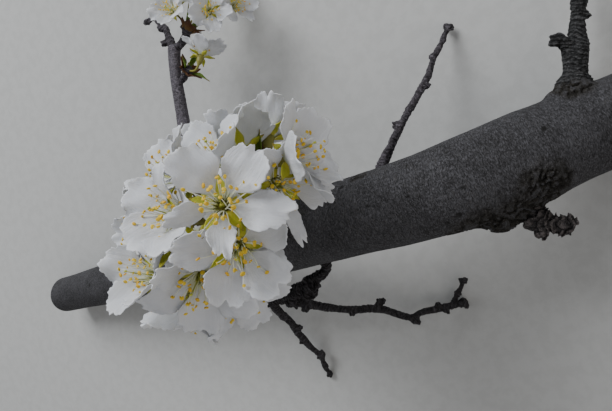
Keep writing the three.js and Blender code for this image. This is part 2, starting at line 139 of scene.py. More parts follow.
class Route:
    """A smooth curve through written places, the solids' own, read by the distance along it."""

    STEPS = 24
    STEEP = 0.8

    def __init__(self, points: Sequence[Vector]) -> None:
        """Samples the curve and the frames along it.

        Args:
            points: The places that the curve runs through, in millimetres.
        """
        knots = [np.array(point) for point in points]
        ends = [2 * knots[0] - knots[1], *knots, 2 * knots[-1] - knots[-2]]
        samples = [knots[0]]
        for index in range(len(knots) - 1):
            before, start, stop, after = ends[index:index + 4]
            gaps = [
                math.sqrt(np.linalg.norm(b - a))
                for a, b in ((before, start), (start, stop), (stop, after))
            ]
            leave = self._slope(before, start, stop, gaps[0], gaps[1]) * gaps[1]
            arrive = self._slope(start, stop, after, gaps[1], gaps[2]) * gaps[1]
            for step in range(1, self.STEPS + 1):
                t = step / self.STEPS
                square = (2 * leave + arrive - 3 * (stop - start)) * -1
                cube = leave + arrive - 2 * (stop - start)
                samples.append(start + leave * t + square * t**2 + cube * t**3)
        self.samples = np.array(samples)
        steps = np.linalg.norm(np.diff(self.samples, axis=0), axis=1)
        self.lengths = np.concatenate([[0.0], np.cumsum(steps)])
        self.length = float(self.lengths[-1])
        self.tangents = np.gradient(self.samples, axis=0)
        self.tangents /= np.linalg.norm(self.tangents, axis=1)[:, None]
        self.sides = self._sides()

    @staticmethod
    def _slope(a: np.ndarray, b: np.ndarray, c: np.ndarray, first: float, second: float) -> np.ndarray:
        """The slope at b of the curve from a to c, for the parameter steps before and after b."""
        return (b - a) / first - (c - a) / (first + second) + (c - b) / second

    def _sides(self) -> np.ndarray:
        """A side direction at each sample, each turned as little as possible from the last."""
        side = np.array((1.0, 0, 0) if abs(self.tangents[0][2]) > self.STEEP else (0, 0, 1.0))
        sides = []
        for tangent in self.tangents:
            side = side - tangent * side.dot(tangent)
            side = side / np.linalg.norm(side)
            sides.append(side)
        return np.array(sides)

    def at(self, run: float) -> tuple[Vector, Vector, Vector, Vector]:
        """The frame at a distance along the curve, straight past either end.

        Args:
            run: The distance from the start, in millimetres.

        Returns:
            The point, the tangent, the side and the direction across both.
        """
        inside = min(max(run, 0.0), self.length)
        point, tangent, side = (
            Vector([np.interp(inside, self.lengths, values[:, axis]) for axis in range(3)])
            for values in (self.samples, self.tangents, self.sides)
        )
        tangent.normalize()
        side = (side - tangent * side.dot(tangent)).normalized()
        return point + tangent * (run - inside), tangent, side, tangent.cross(side)


@dataclass(frozen=True)
class Relief:
    """The heights, in millimetres, of what stands out of a piece's bark.

    Fields:
        swell: Broad unevenness, and swell_size is its breadth.
        ring: Scars round the girth, and ring_pitch is the distance between them.
        crack: Torn bark where the rough mask is high, and crack_size is its breadth.
        sunk: How far the bark lies inside the measured girth.
    """

    swell: float
    swell_size: float
    ring: float
    ring_pitch: float
    crack: float
    crack_size: float
    sunk: float = 0.0

    SEED_SHIFTS = (1.0, 0.7, 1.3)
    RING_DRIFT = 1.1
    DRIFT_SCALE = 0.28
    UNEVEN_MEAN = 0.75
    UNEVEN_SCALE = 0.5
    TORN_NOISE = (0.9, 2.1, 4, 1.0, 2.0)
    TORN_LEVEL = 1.3
    TORN_GAIN = 2.5
    TORN_RISE = 0.5
    # How strongly the ring scars' slopes take the painted highlight and shade.
    RING_TINT = 4
    RING_TINT_MOST = 1.6

    def at(self, along: float, round_: Vector, rough: float, seed: float) -> tuple[float, float]:
        """How far the bark stands out at a place, and whether that is a ridge or a crevice.

        Args:
            along: The distance along the piece.
            round_: The place across the piece, from its middle.
            rough: How torn the bark is there, from 0 to 1.
            seed: A shift that makes each piece its own.

        Returns:
            The height in millimetres, and from -1 in a crevice to 1 on a ridge.
        """
        spot = Vector((along, round_.x, round_.y))
        shift = Vector([seed * share for share in self.SEED_SHIFTS])
        broad = noise.noise(spot / self.swell_size + shift)
        turns = along / self.ring_pitch + self.RING_DRIFT * noise.noise(spot * self.DRIFT_SCALE + shift)
        tooth = 0.5 - (turns - math.floor(turns))
        uneven = self.UNEVEN_MEAN + noise.noise(spot * self.UNEVEN_SCALE - shift)
        torn = noise.ridged_multi_fractal(spot / self.crack_size + shift, *self.TORN_NOISE)
        torn = min(max((self.TORN_LEVEL - torn) * self.TORN_GAIN, -1.0), self.TORN_RISE)
        height = self.swell * broad + self.ring * tooth * uneven + self.crack * rough * torn
        # The second value marks crests and crevices, which the bark finish paints with highlight and shade.
        tint = torn * rough + tooth * min(self.ring * self.RING_TINT, self.RING_TINT_MOST)
        return height - self.sunk, min(max(tint, -1.0), 1.0)


LIMB_RELIEF = Relief(swell=0.35, swell_size=16, ring=0.05, ring_pitch=1.9, crack=0.75, crack_size=2.7)
SHOOT_RELIEF = Relief(
    swell=0.14, swell_size=7, ring=0.07, ring_pitch=1.8, crack=0.5, crack_size=2.5, sunk=0.1
)
TWIG_RELIEF = Relief(
    swell=0.24, swell_size=3.2, ring=0.24, ring_pitch=1.5, crack=0.4, crack_size=2.2, sunk=0.24
)
SPUR_RELIEF = Relief(
    swell=0.35, swell_size=3, ring=0.7, ring_pitch=1.45, crack=0.5, crack_size=2.4, sunk=0.4
)
STUB_RELIEF = Relief(
    swell=0.2, swell_size=3, ring=0.42, ring_pitch=1.25, crack=0.45, crack_size=2.2, sunk=0.2
)
COMB_RELIEF = Relief(
    swell=0.4, swell_size=2.6, ring=1.5, ring_pitch=1.9, crack=0.6, crack_size=2.2, sunk=0.3
)


@dataclass
class WoodPiece:
    """One tapering limb, spur, twig or shoot.

    Fields:
        name: The name of its solid.
        route: Places that its middle line runs through.
        girth: Pairs of a share of the route and the diameter there.
        knobs: Places and radii of the knobs on it.
        slot: The record's material slot.
        ripple: How uneven its girth is, as a share of the radius.
        relief: What stands out of its bark.
        parent: The piece that it grows from, whose bark its start is sunk into.
        cuts: Which of its ends are sawn flat, the start and the far end.
        rough_at: Middles and reaches of the places where the bark is torn.
        rough_all: How torn the bark is everywhere.
        flare: How much thicker it is where it leaves what carries it.
        voxel: The grain in which its parts are fused.
        burrs: How many small lumps each knob carries.
        look: The kind of its bark.
    """

    name: str
    route: list[Triple]
    girth: list[tuple[float, float]]
    knobs: list[tuple[float, float, float, float]]
    slot: Slot = Slot.TWIG_BARK
    ripple: float = 0.05
    relief: Relief = TWIG_RELIEF
    parent: str | None = None
    cuts: tuple[bool, bool] = (False, False)
    rough_at: list[tuple[float, float, float, float]] = field(default_factory=list)
    rough_all: float = 0.35
    flare: float = 0.4
    voxel: float = 0.28
    burrs: int = 9
    look: Bark = Bark.TWIG

    # Lobes round the girth, and how far each set turns over one of the ripple's steps, in radians.
    RIPPLES = ((3, 1.7), (2, -0.9))
    RIPPLE_STEPS = 16
    SIDES = 32
    RING_PITCH = 0.8
    SINK = 0.72
    FLARE_REACH = 2.8
    REFINE_FROM = 0.12
    PAST_CUT = 2.5
    LEAVES_BY = 0.6
    LEAVE_STEP = 0.25
    BURR_AWAY = 0.95
    BURR_SIZES = (0.25, 0.55)
    BURR_DRAWS = 20
    EDGE_WANDER = 0.16
    WANDER_SCALE = 0.3
    FULLY_TORN = 0.4
    SAW_MARGIN = 1e-4

    def __post_init__(self) -> None:
        """Lays the middle line."""
        self.line = Route([place(point) for point in self.route])

    def radius(self, run: float, angle: float = 0.0) -> float:
        """The radius at a distance along the piece, towards an angle round it."""
        share = min(max(run / self.line.length, 0.0), 1.0)
        shares, diameters = zip(*self.girth)
        wave = sum(math.sin(lobes * angle + turn * share * self.RIPPLE_STEPS) for lobes, turn in self.RIPPLES)
        return float(np.interp(share, shares, diameters)) / 2 * (1 + self.ripple * wave)

    def leaves(self, parent: WoodPiece | None, depth: float) -> float:
        """How far along the line the piece leaves what carries it.

        Args:
            parent: The piece that carries it, if there is one.
            depth: The share of the parent's radius at which it counts as having left.

        Returns:
            The distance from the start of the line.
        """
        if parent is None:
            return 0.0
        tree = parent.nearest()
        run = 0.0
        while run < self.line.length * self.LEAVES_BY:
            point = self.line.at(run)[0]
            _, index, distance = tree.find(point)
            if distance > parent.radius(float(parent.line.lengths[index])) * depth:
                break
            run += self.LEAVE_STEP
        return run

    def nearest(self) -> KDTree:
        """A tree that finds the nearest sample of the middle line."""
        tree = KDTree(len(self.line.samples))
        for index, sample in enumerate(self.line.samples):
            tree.insert(sample, index)
        tree.balance()
        return tree

    def core(self, parent: WoodPiece | None) -> bmesh.types.BMesh:
        """The bent, tapering tube with its knobs, as shapes that still overlap.

        Args:
            parent: The piece that carries it, if there is one.

        Returns:
            A mesh in millimetres.
        """
        low = self.leaves(parent, self.SINK) - (self.PAST_CUT if self.cuts[0] else 0)
        bark = self.leaves(parent, 1.0)
        high = self.line.length + (self.PAST_CUT if self.cuts[1] else 0)
        rings = max(int((high - low) / self.RING_PITCH), 4)
        shape = tube_pattern(self.SIDES, rings)
        frames = [self.line.at(mix(low, high, ring / rings)) for ring in range(rings + 1)]
        for vertex in shape.verts:
            share = vertex.co.z + 0.5
            point, _, side, over = frames[round(share * rings)]
            angle = math.atan2(vertex.co.y, vertex.co.x)
            run = mix(low, high, share)
            radius = self.radius(run, angle)
            if parent is not None:
                radius += self.flare * math.exp(-max(run - bark, 0) / self.FLARE_REACH)
            vertex.co = point + (side * math.cos(angle) + over * math.sin(angle)) * radius
        for order, (x, y, z, radius) in enumerate(self.knobs):
            middle = place((x, y, z))
            spot = Matrix.Translation(middle)
            bmesh.ops.create_icosphere(shape, subdivisions=3, radius=radius, matrix=spot)
            for burr in range(self.burrs):
                draws = [chance(order, burr + self.BURR_DRAWS * count) for count in range(4)]
                way = Vector([draw - 0.5 for draw in draws[:3]]).normalized()
                spot = Matrix.Translation(middle + way * radius * self.BURR_AWAY)
                lump = radius * mix(*self.BURR_SIZES, draws[3])
                bmesh.ops.create_icosphere(shape, subdivisions=2, radius=lump, matrix=spot)
        return shape

    def roughness_at(self, point: Vector) -> float:
        """How torn the bark is at a place, from 0 to 1."""
        mask = self.rough_all
        for x, y, z, reach in self.rough_at:
            away = (point - place((x, y, z))).length
            ragged = away + self.EDGE_WANDER * reach * noise.noise(point * self.WANDER_SCALE)
            mask = max(mask, 1 - smooth(reach * self.FULLY_TORN, reach, ragged))
        return mask

    def refine(self, shape: bmesh.types.BMesh) -> None:
        """Halves the faces where the bark is torn, so that its crevices come out sharp."""
        torn = {vertex for vertex in shape.verts if self.roughness_at(vertex.co) > self.REFINE_FROM}
        edges = [edge for edge in shape.edges if torn.issuperset(edge.verts)]
        bmesh.ops.subdivide_edges(shape, edges=edges, cuts=1, use_grid_fill=True)

    def carve(self, shape: bmesh.types.BMesh, seed: float) -> None:
        """Raises the bark's relief and writes each vertex's place along and round the piece.

        Args:
            shape: The fused mesh, which is changed.
            seed: A shift that makes the piece's pattern its own.
        """
        grain = shape.verts.layers.float_vector.new("grain")
        rough = shape.verts.layers.float.new("rough")
        ridge = shape.verts.layers.float.new("ridge")
        shape.verts.layers.float.new("share")
        tree = self.nearest()
        tangents = [Vector(tangent) for tangent in self.line.tangents]
        sides = [Vector(side) for side in self.line.sides]
        shape.normal_update()
        moves = []
        for vertex in shape.verts:
            sample, index, _ = tree.find(vertex.co)
            away = vertex.co - sample
            along = float(self.line.lengths[index]) + away.dot(tangents[index])
            over = tangents[index].cross(sides[index])
            round_ = Vector((away.dot(sides[index]), away.dot(over)))
            mask = self.roughness_at(vertex.co)
            height, tint = self.relief.at(along, round_, mask, seed)
            vertex[grain] = (along, round_.x, round_.y)
            vertex[rough] = mask
            # Kept for the painted highlight on crests and the painted shade in crevices.
            vertex[ridge] = tint
            moves.append(vertex.normal * height)
        for vertex, move in zip(shape.verts, moves):
            vertex.co += move

    def saw(self, shape: bmesh.types.BMesh) -> None:
        """Cuts the sawn ends flat and closes them with a face that has a middle.

        Args:
            shape: The carved mesh, which is changed.
        """
        grain = shape.verts.layers.float_vector["grain"]
        share = shape.verts.layers.float["share"]
        for run, outward, sawn in zip((0.0, self.line.length), (-1, 1), self.cuts):
            if not sawn:
                continue
            point, tangent, _, _ = self.line.at(run)
            parts = [*shape.verts, *shape.edges, *shape.faces]
            cut = bmesh.ops.bisect_plane(
                shape, geom=parts, dist=self.SAW_MARGIN, plane_co=point, plane_no=tangent * outward,
                clear_outer=True,
            )
            rim = [part for part in cut["geom_cut"] if isinstance(part, bmesh.types.BMEdge)]
            for edge in rim:
                edge.smooth = False
                for vertex in edge.verts:
                    vertex[share] = 1.0
            lids = bmesh.ops.edgeloop_fill(shape, edges=rim)["faces"]
            middles = bmesh.ops.poke(shape, faces=lids)
            for vertex in middles["verts"]:
                vertex[grain] = (run, 0, 0)
                vertex[share] = 0.0
            for face in middles["faces"]:
                face.material_index = 1

    def build(self, seed: float, parent: WoodPiece | None) -> bmesh.types.BMesh:
        """The finished piece of wood.

        Args:
            seed: A shift that makes the piece's pattern its own.
            parent: The piece that carries it, if there is one.

        Returns:
            A closed mesh in millimetres.
        """
        shape = fused(self.core(parent), self.voxel)
        bmesh.ops.smooth_vert(
            shape, verts=shape.verts, factor=0.5, use_axis_x=True, use_axis_y=True, use_axis_z=True
        )
        if self.rough_at:
            self.refine(shape)
        self.carve(shape, seed)
        self.saw(shape)
        bmesh.ops.recalc_face_normals(shape, faces=shape.faces)
        return shape


def tube_pattern(sides: int, rings: int) -> bmesh.types.BMesh:
    """A closed tube of radius 1 that stands from -0.5 to 0.5 on Z, in level rings."""
    shape = bmesh.new()
    bmesh.ops.create_cone(shape, cap_ends=True, segments=sides, radius1=1, radius2=1, depth=1)
    upright = [edge for edge in shape.edges if abs(edge.verts[0].co.z - edge.verts[1].co.z) > 0.5]
    bmesh.ops.subdivide_edges(shape, edges=upright, cuts=rings - 1)
    return shape


def fused(shape: bmesh.types.BMesh, grain: float) -> bmesh.types.BMesh:
    """One even skin round shapes that overlap.

    Args:
        shape: The shapes, which are freed.
        grain: The size of the faces, in millimetres.

    Returns:
        The fused mesh.
    """
    mesh = bpy.data.meshes.new("core")
    shape.to_mesh(mesh)
    shape.free()
    rough = bpy.data.objects.new("core", mesh)
    bpy.context.collection.objects.link(rough)
    remesh = rough.modifiers.new("fuse", "REMESH")
    remesh.mode = "VOXEL"
    remesh.voxel_size = grain
    skin = bpy.data.meshes.new_from_object(rough.evaluated_get(bpy.context.evaluated_depsgraph_get()))
    result = bmesh.new()
    result.from_mesh(skin)
    bpy.data.objects.remove(rough)
    bpy.data.meshes.remove(mesh)
    bpy.data.meshes.remove(skin)
    return result


def finish_piece(
    name: str,
    shape: bmesh.types.BMesh,
    slot: Slot,
    materials: Sequence[bpy.types.Material],
    nodes: Iterable[str],
    thickness: float = 0.0,
) -> bpy.types.Object:
    """Turns a mesh in millimetres into a shown piece that rides on the branch.

    Args:
        name: The piece's name.
        shape: Its mesh, which is freed.
        slot: The record's material slot; it is not used.
        materials: Its materials, in the order of its faces' material indices.
        nodes: The solids that it stands for.
        thickness: The thickness that a thin blade is given, in millimetres.

    Returns:
        The piece.
    """
    bmesh.ops.scale(shape, vec=(MM, MM, MM), verts=shape.verts)
    mesh = bpy.data.meshes.new(name)
    shape.to_mesh(mesh)
    shape.free()
    mesh.polygons.foreach_set("use_smooth", [face.material_index == 0 for face in mesh.polygons])
    for material in materials:
        mesh.materials.append(material)
    piece = bpy.data.objects.new(name, mesh)
    bpy.context.collection.objects.link(piece)
    if thickness:
        wall = piece.modifiers.new("thickness", "SOLIDIFY")
        wall.thickness = thickness * MM
        wall.offset = 0
    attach(piece, BODY)
    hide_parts(*nodes)
    LOG.info("%s: %d faces", name, len(mesh.polygons))
    return piece


class Joined:
    """Many small shapes in one mesh, in millimetres, each with a tone of its own."""

    def __init__(self) -> None:
        """Starts an empty mesh with a tone on each vertex and a span on each corner."""
        self.shape = bmesh.new()
        self.tone = self.shape.verts.layers.float.new("tone")
        self.shape.loops.layers.uv.new("span")

    def add(self, pattern: bpy.types.Mesh, mover: Mover, tone: float) -> None:
        """Adds a copy of a pattern.

        Args:
            pattern: The mesh to copy.
            mover: Gives the new place of each of its vertices.
            tone: A number from 0 to 1 that the finish may read.
        """
        before = len(self.shape.verts)
        self.shape.from_mesh(pattern)
        self.shape.verts.ensure_lookup_table()
        for vertex in self.shape.verts[before:]:
            vertex.co = mover(vertex.co)
            vertex[self.tone] = tone


def pattern_mesh(shape: bmesh.types.BMesh) -> bpy.types.Mesh:
    """Keeps a shape as a mesh to copy, with its width and its length as its span.

    Args:
        shape: A shape from -1 to 1 across, and from -1 to 1 or -0.5 to 0.5 along. It is freed.

    Returns:
        The mesh.
    """
    tall = max(vertex.co.z for vertex in shape.verts) > 0
    half = 0.5 if tall else 1.0
    span = shape.loops.layers.uv.new("span")
    for face in shape.faces:
        for loop in face.loops:
            spot = loop.vert.co
            loop[span].uv = ((spot.x + 1) / 2, ((spot.z if tall else spot.y) + half) / (2 * half))
    mesh = bpy.data.meshes.new("pattern")
    shape.to_mesh(mesh)
    shape.free()
    return mesh


def grid_pattern(columns: int, rows: int) -> bpy.types.Mesh:
    """A flat grid from -1 to 1 both ways."""
    shape = bmesh.new()
    bmesh.ops.create_grid(shape, x_segments=columns, y_segments=rows, size=1)
    return pattern_mesh(shape)


def bead_pattern(sides: int, rings: int) -> bpy.types.Mesh:
    """A flattened bead of radius 0.5, grooved along into two lobes."""
    flatness, groove_depth, groove_width = 0.8, 0.35, 0.16
    shape = bmesh.new()
    bmesh.ops.create_uvsphere(shape, u_segments=sides, v_segments=rings, radius=0.5)
    for vertex in shape.verts:
        groove = math.exp(-((vertex.co.x / groove_width) ** 2))
        vertex.co.y *= flatness - groove_depth * groove
    return pattern_mesh(shape)


@dataclass
class Blade:
    """A petal, sepal, bud scale or leaf tip: a thin blade bent away from a bloom's axis.

    Fields:
        home: The matrix that puts the bloom's frame into place.
        turn: The angle round the bloom's axis at which the blade stands, in radians.
        length: From its foot to its tip.
        width: Across its widest place.
        seat: The distance of its foot from the bloom's axis.
        first: The angle between the axis and the foot, in radians.
        flare: How much further it bends outwards on its way, in radians.
        curl: A further bend that grows towards the tip, in radians.
        cup: The rise of its edges beside its half width.
        claw: The width of its foot as a share.
        point: How far its tip narrows, from 0 to 1.
        notch: The depth of the notch in its tip, as a share of its length.
        roll: The turn of one edge up and the other down, in radians.
        sway: How far it leans to one side, as a share of its length.
        ruffle: The height of the waves in its edge, as a share of its length.
        seed: A number that its waves are drawn from.
    """

    home: Matrix
    turn: float
    length: float
    width: float
    seat: float
    first: float
    flare: float
    curl: float = 0.0
    cup: float = 0.16
    claw: float = 0.3
    point: float = 0.0
    notch: float = 0.0
    roll: float = 0.0
    sway: float = 0.0
    ruffle: float = 0.0
    seed: int = 0

    BEND_STEPS = 24
    STEPS_PAST_TIP = 3
    OUTLINE_WAVES = ((2, 0.05), (3, 0.04), (5, 0.025))
    EDGE_WAVES = ((3, 0.45), (5, 0.38), (9, 0.16))
    LOBES = 7.0
    LOBE_DEPTH = 0.05
    LOBE_POWER = 0.7
    LOBE_MEAN = 0.7
    LOBE_SCALES = (1.6, 2.3)
    TEETH = ((5.5, 0.12), (13.0, 0.07))
    TOOTH_SHIFT = 3.1
    NOTCH_WIDTH = 0.15
    FOLD_HEIGHT = 0.14
    # How fast the creases and folds change across, along and from seed to seed.
    CREASE_SCALES = (0.22, 2.2, 1.7)
    FOLD_SCALES = (0.6, 0.8, 4.3)
    # Where each effect starts and where it is full: from -1 to 1 along for the outline's waves, and
    # from 0 at the foot to 1 at the tip for the others.
    WAVES_GROW = (-0.6, 0.3)
    CLAW_GROWS = (0, 0.55)
    POINT_GROWS = (0.35, 1)
    NOTCH_GROWS = (0.72, 1)
    EDGE_GROWS = (0.25, 0.8)
    CREASE_GROWS = (0.1, 0.6)
    FOLD_GROWS = (0.05, 0.3)
    ROLL_GROWS = (0, 0.5)

    def __post_init__(self) -> None:
        """Works out the middle line's bend once."""
        source = random.Random(self.seed)
        self.phases = [source.uniform(0, math.tau) for _ in range(6)]
        out, rise = 0.0, 0.0
        self.bend = [(out, rise, self.first)]
        for step in range(1, self.BEND_STEPS + self.STEPS_PAST_TIP + 1):
            run = step / self.BEND_STEPS
            angle = self.first + self.flare * run + self.curl * run * run
            out += math.sin(angle) * self.length / self.BEND_STEPS
            rise += math.cos(angle) * self.length / self.BEND_STEPS
            self.bend.append((out, rise, angle))
        self.out = Vector((math.cos(self.turn), math.sin(self.turn), 0))
        self.across = Vector((math.sin(self.turn), -math.cos(self.turn), 0))

    def outline(self, x: float, y: float) -> tuple[float, float, float, float]:
        """Where a place on the pattern's square lies in the flat blade.

        Args:
            x: Across the square, from -1 to 1.
            y: Along the square, from -1 at the foot to 1 at the tip.

        Returns:
            The share along, the distance aside, how near the outline it is, and its angle there.
        """
        across = x * math.sqrt(1 - y * y / 2)
        up = y * math.sqrt(1 - x * x / 2)
        near = math.hypot(across, up)
        angle = math.atan2(across, up)
        wobble = 1.0
        if self.ruffle:
            wobble += self.outline_wave(angle, near) * near * near * smooth(*self.WAVES_GROW, up)
        along = max((up * wobble + 1) / 2, 0.0)
        share = mix(self.claw, 1, smooth(*self.CLAW_GROWS, along))
        share *= 1 - self.point * smooth(*self.POINT_GROWS, along)
        aside = across * wobble * share * self.width / 2
        dip = math.exp(-((across / self.NOTCH_WIDTH) ** 2)) * smooth(*self.NOTCH_GROWS, along)
        return along - self.notch * dip, aside, near, angle

    def outline_wave(self, angle: float, near: float) -> float:
        """How far the outline of a ruffled blade stands out at an angle, as a share.

        Args:
            angle: The angle round the blade's middle, from its tip.
            near: How near the outline the place is, from 0 to 1.

        Returns:
            The sum of its broad waves, its lobes and its fine teeth.
        """
        wave = sum(
            height * math.sin(count * angle + phase)
            for (count, height), phase in zip(self.OUTLINE_WAVES, self.phases)
        )
        lobe = abs(math.sin(angle * self.LOBES / 2 + self.phases[5])) ** self.LOBE_POWER - self.LOBE_MEAN
        turn_scale, seed_scale = self.LOBE_SCALES
        deep = 0.5 + noise.noise(Vector((angle * turn_scale, self.seed * seed_scale, 0)))
        wave += self.LOBE_DEPTH * lobe * deep * near**3
        for pitch, depth in self.TEETH:
            spot = Vector((angle * pitch, self.seed * self.TOOTH_SHIFT, pitch))
            wave += depth * noise.noise(spot) * near**6
        return wave

    def unevenness(self, aside: float, along: float, scales: Triple) -> float:
        """A smooth random height at a place on the blade, of its own for each seed."""
        aside_scale, along_scale, seed_scale = scales
        return noise.noise(Vector((aside * aside_scale, along * along_scale, self.seed * seed_scale)))

    def mover(self, spot: Vector) -> Vector:
        """The place in the part's frame of a place on the pattern's square."""
        along, aside, near, angle = self.outline(spot.x, spot.y)
        step = min(along * self.BEND_STEPS, self.BEND_STEPS + self.STEPS_PAST_TIP - 0.01)
        index = int(step)
        out, rise, tilt = (
            mix(low, high, step - index) for low, high in zip(self.bend[index], self.bend[index + 1])
        )
        up = Vector((-math.cos(tilt) * self.out.x, -math.cos(tilt) * self.out.y, math.sin(tilt)))
        waves = sum(
            height * math.sin(count * angle + phase)
            for (count, height), phase in zip(self.EDGE_WAVES, self.phases[3:])
        )
        crease = self.unevenness(aside, along, self.CREASE_SCALES) * smooth(*self.CREASE_GROWS, along)
        fold = self.unevenness(aside, along, self.FOLD_SCALES)
        crease += self.FOLD_HEIGHT * fold * smooth(*self.FOLD_GROWS, along)
        lift = self.cup * aside * aside * 2 / self.width
        lift += self.ruffle * self.length * (waves * near**3 * smooth(*self.EDGE_GROWS, along) + crease)
        roll = self.roll * smooth(*self.ROLL_GROWS, along)
        side = self.across * math.cos(roll) + up * math.sin(roll)
        aside += self.sway * self.length * along * along
        local = self.out * (self.seat + out) + Vector((0, 0, rise)) + side * aside + up * lift
        return self.home @ local

    def tree(self, pattern: bpy.types.Mesh) -> BVHTree:
        """A tree of the blade's faces that finds what it runs through."""
        spots = [self.mover(vertex.co) for vertex in pattern.vertices]
        return BVHTree.FromPolygons(spots, [face.vertices[:] for face in pattern.polygons])


@dataclass
class Bloom:
    """One bloom: where it sits, how it faces and how far it is open.

    Fields:
        name: The name of its solid.
        tip: The spur tip that carries it.
        seat: The middle of its cup's mouth.
        facing: The azimuth and elevation that it faces, in degrees.
        spin: The turn of its first petal, in degrees.
        opening: How far its petals stand from its axis, in degrees.
        scale: Its size beside a full bloom.
        order: Its count among the blooms.
        narrow: The widths of its folded petals, as shares of a full one.
    """

    name: str
    tip: Triple
    seat: Triple
    facing: tuple[float, float]
    spin: float
    opening: float
    scale: float
    order: int = 0
    narrow: dict[int, float] = field(default_factory=dict)

    PETALS = 5
    PETAL_LENGTH = 13.2
    PETAL_WIDTH = 11.2
    PETAL_FLARE = 38
    PETAL_VARIATION = 0.09
    PETAL_LIFT = 14
    LIFT_DRAW = 40
    MOUTH_RADIUS = 2.1
    CUP_LENGTH = 5.6
    CUP_OUTLINE = ((0.0, 0.75), (0.12, 1.2), (0.3, 1.75), (0.65, 1.95), (1.0, 2.2))
    SEPAL_LEAN = 22
    SEPAL_LEAN_LEAST = 66
    STALK_RADIUS = 0.6
    STALK_END = 0.92
    STALK_BEND = 0.35
    STALK_DRAW = 0.35
    STALK_POINT = 0.6

    def __post_init__(self) -> None:
        """Works out which way the bloom faces and the matrix of its frame."""
        azimuth, elevation = (math.radians(angle) for angle in self.facing)
        flat = math.cos(elevation)
        self.way = Vector((flat * math.cos(azimuth), flat * math.sin(azimuth), math.sin(elevation)))
        self.mouth = place(self.seat)
        turn: Quaternion = Vector((0, 0, 1)).rotation_difference(self.way)
        self.home = Matrix.LocRotScale(self.mouth, turn, Vector((self.scale,) * 3))
        self.random = random.Random(Seed.SEPALS + self.order)

    @property
    def cluster(self) -> str:
        """The group of blooms that it belongs to."""
        return self.name.split("_")[1]

    def petal(self, index: int, lift: float, roll: float) -> Blade:
        """One petal.

        Args:
            index: Its count round the bloom.
            lift: How much further from the axis it stands, in degrees.
            roll: The turn of its edges, in degrees.

        Returns:
            The petal's blade.
        """
        draw = random.Random(self.order * 31 + index)
        length = self.PETAL_LENGTH * (1 + self.PETAL_VARIATION * (chance(self.order, index) * 2 - 1))
        spread = self.PETAL_LIFT * (chance(self.order, index + self.LIFT_DRAW) - 0.5)
        first = self.opening - self.PETAL_FLARE / 2 + spread + lift
        slim = self.narrow.get(index, draw.uniform(0.9, 1.08))
        return Blade(
            home=self.home,
            turn=math.radians(self.spin + 360 / self.PETALS * index + draw.uniform(-4, 4)),
            length=length,
            width=self.PETAL_WIDTH * slim,
            seat=self.MOUTH_RADIUS,
            first=math.radians(first),
            flare=math.radians(self.PETAL_FLARE),
            curl=math.radians(draw.uniform(-44, 26)),
            cup=draw.uniform(0.08, 0.36),
            claw=draw.uniform(0.2, 0.3),
            notch=draw.uniform(0.0, 0.13),
            roll=math.radians(roll),
            sway=draw.uniform(-0.07, 0.07),
            ruffle=draw.uniform(0.05, 0.1),
            seed=self.order * 7 + index + 1,
        )

    def sepals(self) -> list[Blade]:
        """The five green sepals, between the petals and bent back."""
        pitch = 360 / self.PETALS
        blades = []
        for index in range(self.PETALS):
            tilt = max(self.opening + self.SEPAL_LEAN, self.SEPAL_LEAN_LEAST)
            tilt += self.random.uniform(-16, 18)
            blades.append(Blade(
                home=self.home,
                turn=math.radians(self.spin + pitch * (index + 0.5) + self.random.uniform(-6, 6)),
                length=self.random.uniform(5.4, 7.0),
                width=self.random.uniform(2.3, 3.0),
                seat=1.8,
                first=math.radians(tilt),
                flare=math.radians(self.random.uniform(-22, 30)),
                cup=0.35,
                claw=0.9,
                point=0.72,
                roll=math.radians(self.random.uniform(-14, 14)),
                seed=Seed.SEPAL_WAVES + self.order * 11 + index,
            ))
        return blades

    def stalk(self) -> tuple[Route, list[tuple[float, float]]]:
        """The line of the stalk and cup, and its radius along it.

        Returns:
            The line from the spur tip to the mouth, and pairs of a distance and a radius.
        """
        neck = self.mouth - self.way * self.CUP_LENGTH * self.scale
        start = place(self.tip)
        reach = (neck - start).length
        straight = start.lerp(neck, self.STALK_POINT)
        bend = (neck - self.way * reach * self.STALK_BEND).lerp(straight, self.STALK_DRAW)
        line = Route([start, bend, neck, self.mouth])
        cup = self.CUP_LENGTH * self.scale
        foot = line.length - cup
        radii = [(run, self.STALK_RADIUS * self.scale) for run in (0.0, foot * self.STALK_END)]
        radii += [(foot + cup * share, radius * self.scale) for share, radius in self.CUP_OUTLINE]
        return line, radii


